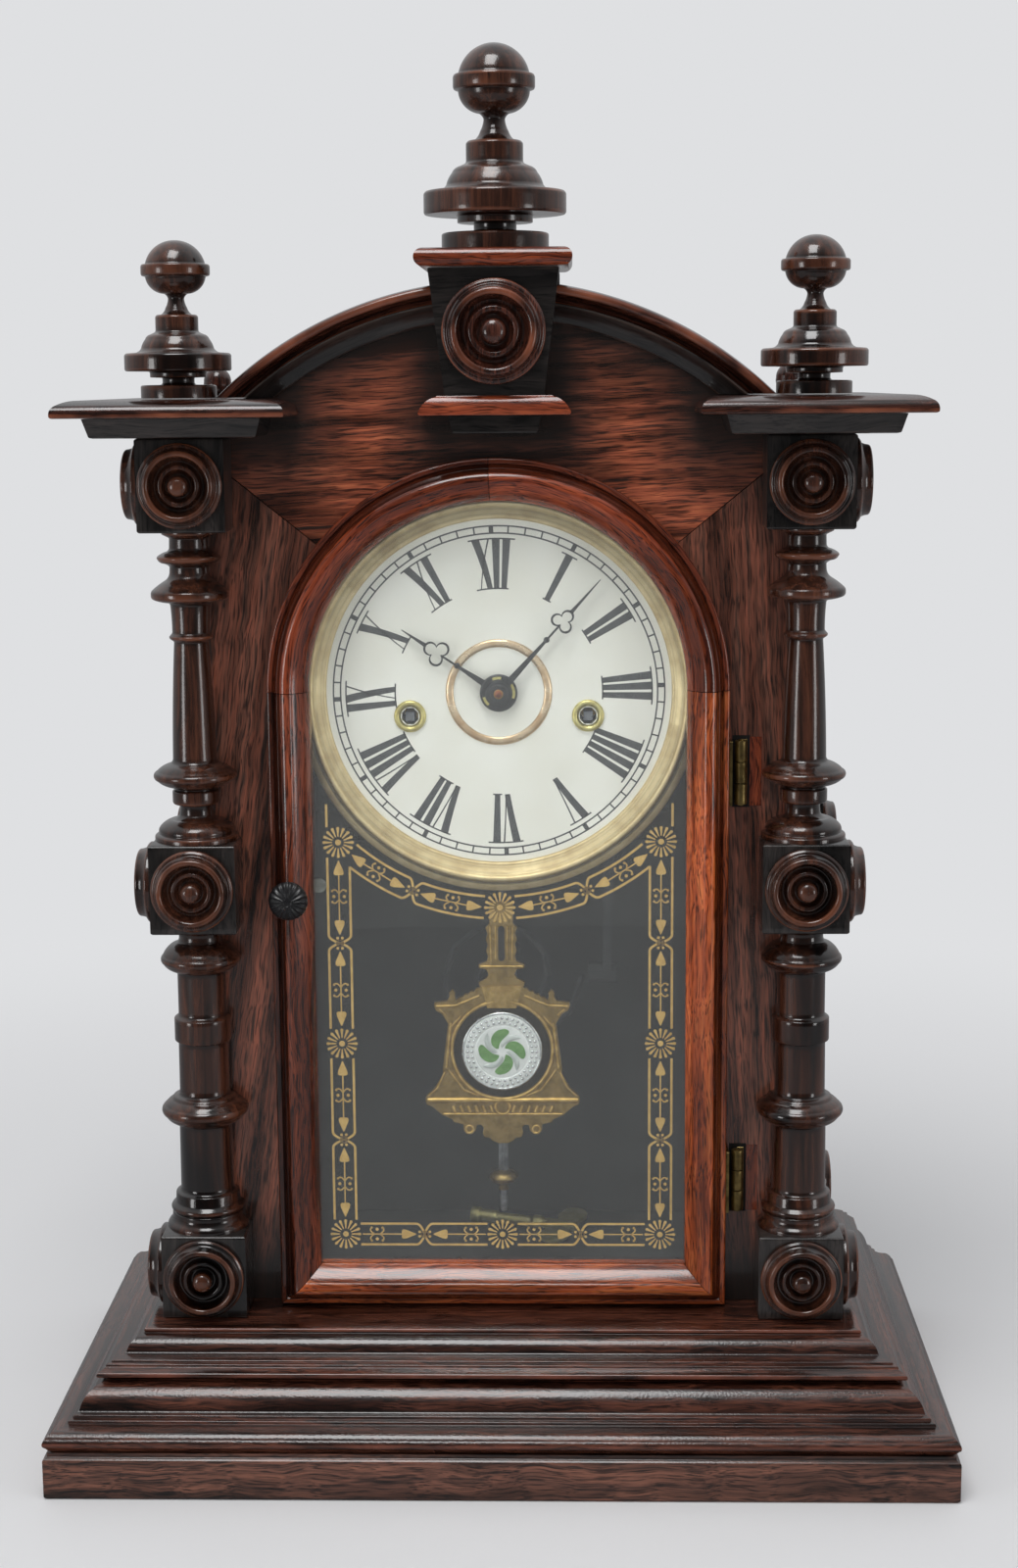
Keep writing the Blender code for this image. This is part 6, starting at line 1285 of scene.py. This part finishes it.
for word in ("upper", "lower"):
    low, high = extent("hinge_case_leaf_" + word)
    axle = at(*BARREL_PLACE)
    foot, top = low[2], high[2]
    third = (top - foot) / 3
    knuckles = []
    for k in range(3):
        start = foot + k * third + 0.12
        end = start + third - 0.24
        line = profile((0.8, start), (BARREL, start), (BARREL, end), (0.8, end), softness=0.2)
        knuckles.append(turned(line, axle, sides=32))
    pin = turned(profile((PIN, foot - 0.3), (PIN, top + 0.3), softness=0.1), axle, sides=20)
    leaf = post((80.4, -27.25, 82.6, -26.2), foot, top, 0.15)
    wing = post((76.4, -33.0, 77.3, -27.5), foot, top, 0.15)
    recess = moulded(section((0, foot - 1.3), (0, top + 1.3), softness=0),
                     rectangle(77.6, -27.08, 83.4, -26.6), UNMITRED)
    patch = post((83.4, -27.2, 87.3, -26.6), foot - 0.8, top + 0.8, 0.2, UNMITRED, UP)
    make("hinge_case_part_" + word, [knuckles[0], knuckles[2], pin, leaf], old_brass, "case",
         "hinge_case_leaf_" + word)
    make("hinge_door_part_" + word, [knuckles[1], wing], old_brass, "door", "hinge_door_leaf_" + word)
    # painted shade: a thin dark sheet over the hinge's mortise, whose inside lies in shade
    make("hinge_recess_shade_" + word, [recess], recess_shade, "case")
    make("hinge_patch_" + word, [patch._replace(ridge=0 * patch.ridge)], red_rosewood, "case")

low, high = extent("winding_key")
KEY_Y, KEY_Z = (low[1] + high[1]) / 2, (low[2] + high[2]) / 2
KEY_TURN = math.radians(-19)    # the key lies askew, its bow nearer the door
WING_X, WING_OUT, WING_WIDE, WING_LONG = 22.0, 10.0, 5.2, 7.4
key_line = profile((2.0, 0.0), (3.0, 0.0), (3.0, 3.0), (2.5, 3.6), (2.5, 10.0), (2.0, 10.6), (2.0, 24.0),
                   (2.6, 25.0), (2.6, 27.0), (1.6, 29.6), softness=0.3)
web = bar((3.0, 4.5, 3.0), (0, 8.0, 14.0), -1.1, 2.2)
web = np.stack([web[..., 2] + 13.0, web[..., 0] * 1.5 + KEY_Y, web[..., 1] + KEY_Z], -1)
key = [turned(key_line, at(low[0], KEY_Y, KEY_Z), (1, 0, 0), 40), prism(web)]
oval = np.linspace(0, 2 * np.pi, 40, endpoint=False)
for side in (-1, 1):
    middle = KEY_Y + side * WING_OUT
    rows = []
    for share, z in ((0.88, -1.1), (1, -0.6), (1, 0.6), (0.88, 1.1)):
        x, y = WING_X + share * WING_WIDE * np.cos(oval), middle + side * share * WING_LONG * np.sin(oval)
        rows.append(np.stack([x, y, np.full(len(oval), KEY_Z + z)], 1))
    key.append(prism(rows))
cosine, sine = math.cos(KEY_TURN), math.sin(KEY_TURN)
askew = np.array(((cosine, sine, 0), (-sine, cosine, 0), (0, 0, 1)))
pivot = at(0, KEY_Y, 0)
key = [shape._replace(points=(shape.points - pivot) @ askew + pivot) for shape in key]
make("brass_winding_key", key, key_brass, "case", "winding_key")

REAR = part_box("back_board")[0][1] / MM
LINING_FRONT, LINING_REAR, LINING_FOOT, LINING_TOP = -19.0, REAR - 0.6, 47.6, 340.0
floor_plan = rectangle(-79.8, LINING_FRONT, 79.8, LINING_REAR) / MM
floor_rows = [np.column_stack([floor_plan, np.full(4, z)]) for z in (47.2, 47.5)]
make("case_floor_lining", [prism(floor_rows)], case_black, "case")
back_edge = rectangle(-92.0, LINING_FOOT, 92.0, LINING_TOP) / MM
make("case_back_lining", [plate(back_edge, REAR - 0.5, REAR - 0.1)], case_black, "case")
side_edge = rectangle(LINING_FRONT, LINING_FOOT, LINING_REAR, LINING_TOP) / MM
for word, side in SIDES:
    side_rows = [np.column_stack([np.full(4, side * x), side_edge]) for x in (80.3, 79.9)]
    make("case_side_lining_" + word, [prism(side_rows)], case_black, "case")


# CAD nodes that stay

KEPT = {
    rosewood_side: ("side_left", "side_right"),
    stained_pine: ("back_board", "movement_rail_left", "movement_rail_right"),
    dial_paint: ("dial_plate",),
    clear_glass: ("door_glass",),
    # the movement's front plate is painted dark: painted shade inside the case
    shaded_brass: ("movement_front_plate",),
    brass: ("movement_back_plate", "time_main_wheel", "strike_main_wheel", "minute_wheel",
            "hour_wheel", "escape_wheel", "centre_arbor"),
    spring: ("time_mainspring", "strike_mainspring"),
    steel: ("verge",),
    dull_black: ("gong", "strike_hammer"),
    dull_rod: ("pendulum_rod",),
}
for material, names in KEPT.items():
    for name in names:
        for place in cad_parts[name].material_slots:
            place.material = material


# Stage, light and camera

FLOOR_RADIUS, FLOOR_POINTS = 0.8, 96
rim_turn = np.linspace(0, 2 * np.pi, FLOOR_POINTS, endpoint=False)
floor_rim = np.stack([np.cos(rim_turn), np.sin(rim_turn), 0 * rim_turn], 1) * FLOOR_RADIUS
floor_mesh = bpy.data.meshes.new("floor")
floor_mesh.from_pydata(floor_rim.tolist(), [], [list(range(FLOOR_POINTS))])
BACKDROP, PAPER, DIM_PAPER = linear("#dfe0e2"), linear("#ececed"), linear("#8c8c8e")
floor_paint, tree, shader = finish("floor_paper")
shader.inputs["Roughness"].default_value = 0.8
# to the eye the paper runs out into the backdrop with the distance from the clock
place = node(tree, "TexCoord", out="Object")
far = node(tree, "VectorMath", {0: place}, operation="LENGTH", out="Value")
fade = node(tree, "MapRange", {0: far, 1: 0.25, 2: 0.75}, interpolation_type="SMOOTHSTEP")
eye = node(tree, "LightPath", out="Is Camera Ray")
seen = node(tree, "Math", {0: fade, 1: eye}, operation="MULTIPLY")
glow = node(tree, "Emission", {"Color": BACKDROP, "Strength": 1.0})
# and to gloss it is a dimmer room in front
gloss = node(tree, "LightPath", out="Is Glossy Ray")
dim = node(tree, "Mix", {0: gloss, 6: PAPER, 7: DIM_PAPER}, data_type="RGBA", out=2)
tree.links.new(dim, shader.inputs["Base Color"])
run_out = node(tree, "MixShader", {0: seen, 1: shader.outputs[0], 2: glow})
tree.links.new(run_out, tree.nodes["Material Output"].inputs["Surface"])
floor_mesh.materials.append(floor_paint)
floor = bpy.data.objects.new("floor", floor_mesh)
bpy.context.scene.collection.objects.link(floor)

world = bpy.data.worlds.new("studio")
bpy.context.scene.world = world
world.use_nodes = True
sky = world.node_tree
backdrop = sky.nodes["Background"]
backdrop.inputs["Color"].default_value = BACKDROP
# gloss sees the pale backdrop behind the clock and a dimmer room in front of it
way = node(sky, "TexCoord", out="Generated")
deep, high_up = (node(sky, "SeparateXYZ", {0: way}, out=axis) for axis in "YZ")
room = node(sky, "MapRange", {0: deep, 1: -0.8, 2: 0.1, 3: 0.1, 4: 0.85})
rise = node(sky, "MapRange", {0: high_up, 1: 0.0, 2: 0.6, 3: 0.5, 4: 1.1})
room = node(sky, "Math", {0: room, 1: rise}, operation="MULTIPLY")
rays = ("Is Camera Ray", "Is Glossy Ray", "Is Transmission Ray")
eye, gloss, through = (node(sky, "LightPath", out=ray) for ray in rays)
light = node(sky, "Mix", {0: gloss, 2: 0.7, 3: room})
shown = node(sky, "Math", {0: eye, 1: through}, operation="MAXIMUM")
level = node(sky, "Mix", {0: shown, 2: light, 3: 1.0})
sky.links.new(level, backdrop.inputs["Strength"])

LAMPS = (("left_lamp", (-1.1, -0.9, 0.2), (0.3, 0.5), 0.25, 2.4),
         ("right_lamp", (1.2, -0.8, 0.2), (0.3, 0.5), 0.25, 1.8),
         ("top_lamp", (-0.15, -0.6, 1.5), (0.6, 0.75), 0.1, 9.8))
for name, place, size, aim_z, power in LAMPS:
    lamp = bpy.data.lights.new(name, "AREA")
    lamp.shape = "RECTANGLE"
    lamp.size, lamp.size_y = size
    lamp.energy = power
    holder = bpy.data.objects.new(name, lamp)
    aim = np.array((0, 0, aim_z)) - np.array(place)
    back = -aim / np.linalg.norm(aim)
    right = np.cross(UP, back)
    right /= np.linalg.norm(right)
    turn = np.stack([right, np.cross(back, right), back], 1)
    holder.matrix_world = Matrix.Translation(place) @ Matrix(turn.tolist()).to_4x4()
    bpy.context.scene.collection.objects.link(holder)

CAMERA_PLACE = (0.0240, -0.8001, 0.3614)
YAW, PITCH, ROLL = 1.532, -9.743, 0.442
lens = bpy.data.cameras.new("camera")
lens.lens = 53.99
lens.sensor_width = 36.0
lens.sensor_fit = "AUTO"
lens.clip_start = 0.05
camera = bpy.data.objects.new("camera", lens)
aim = Matrix.Identity(4)
for angle, axis in ((YAW, "Z"), (PITCH, "X"), (ROLL, "Y"), (90, "X")):
    aim = aim @ Matrix.Rotation(math.radians(angle), 4, axis)
camera.matrix_world = Matrix.Translation(CAMERA_PLACE) @ aim
bpy.context.scene.collection.objects.link(camera)
bpy.context.scene.camera = camera
bpy.context.scene.view_settings.view_transform = "Standard"

bpy.context.view_layer.update()
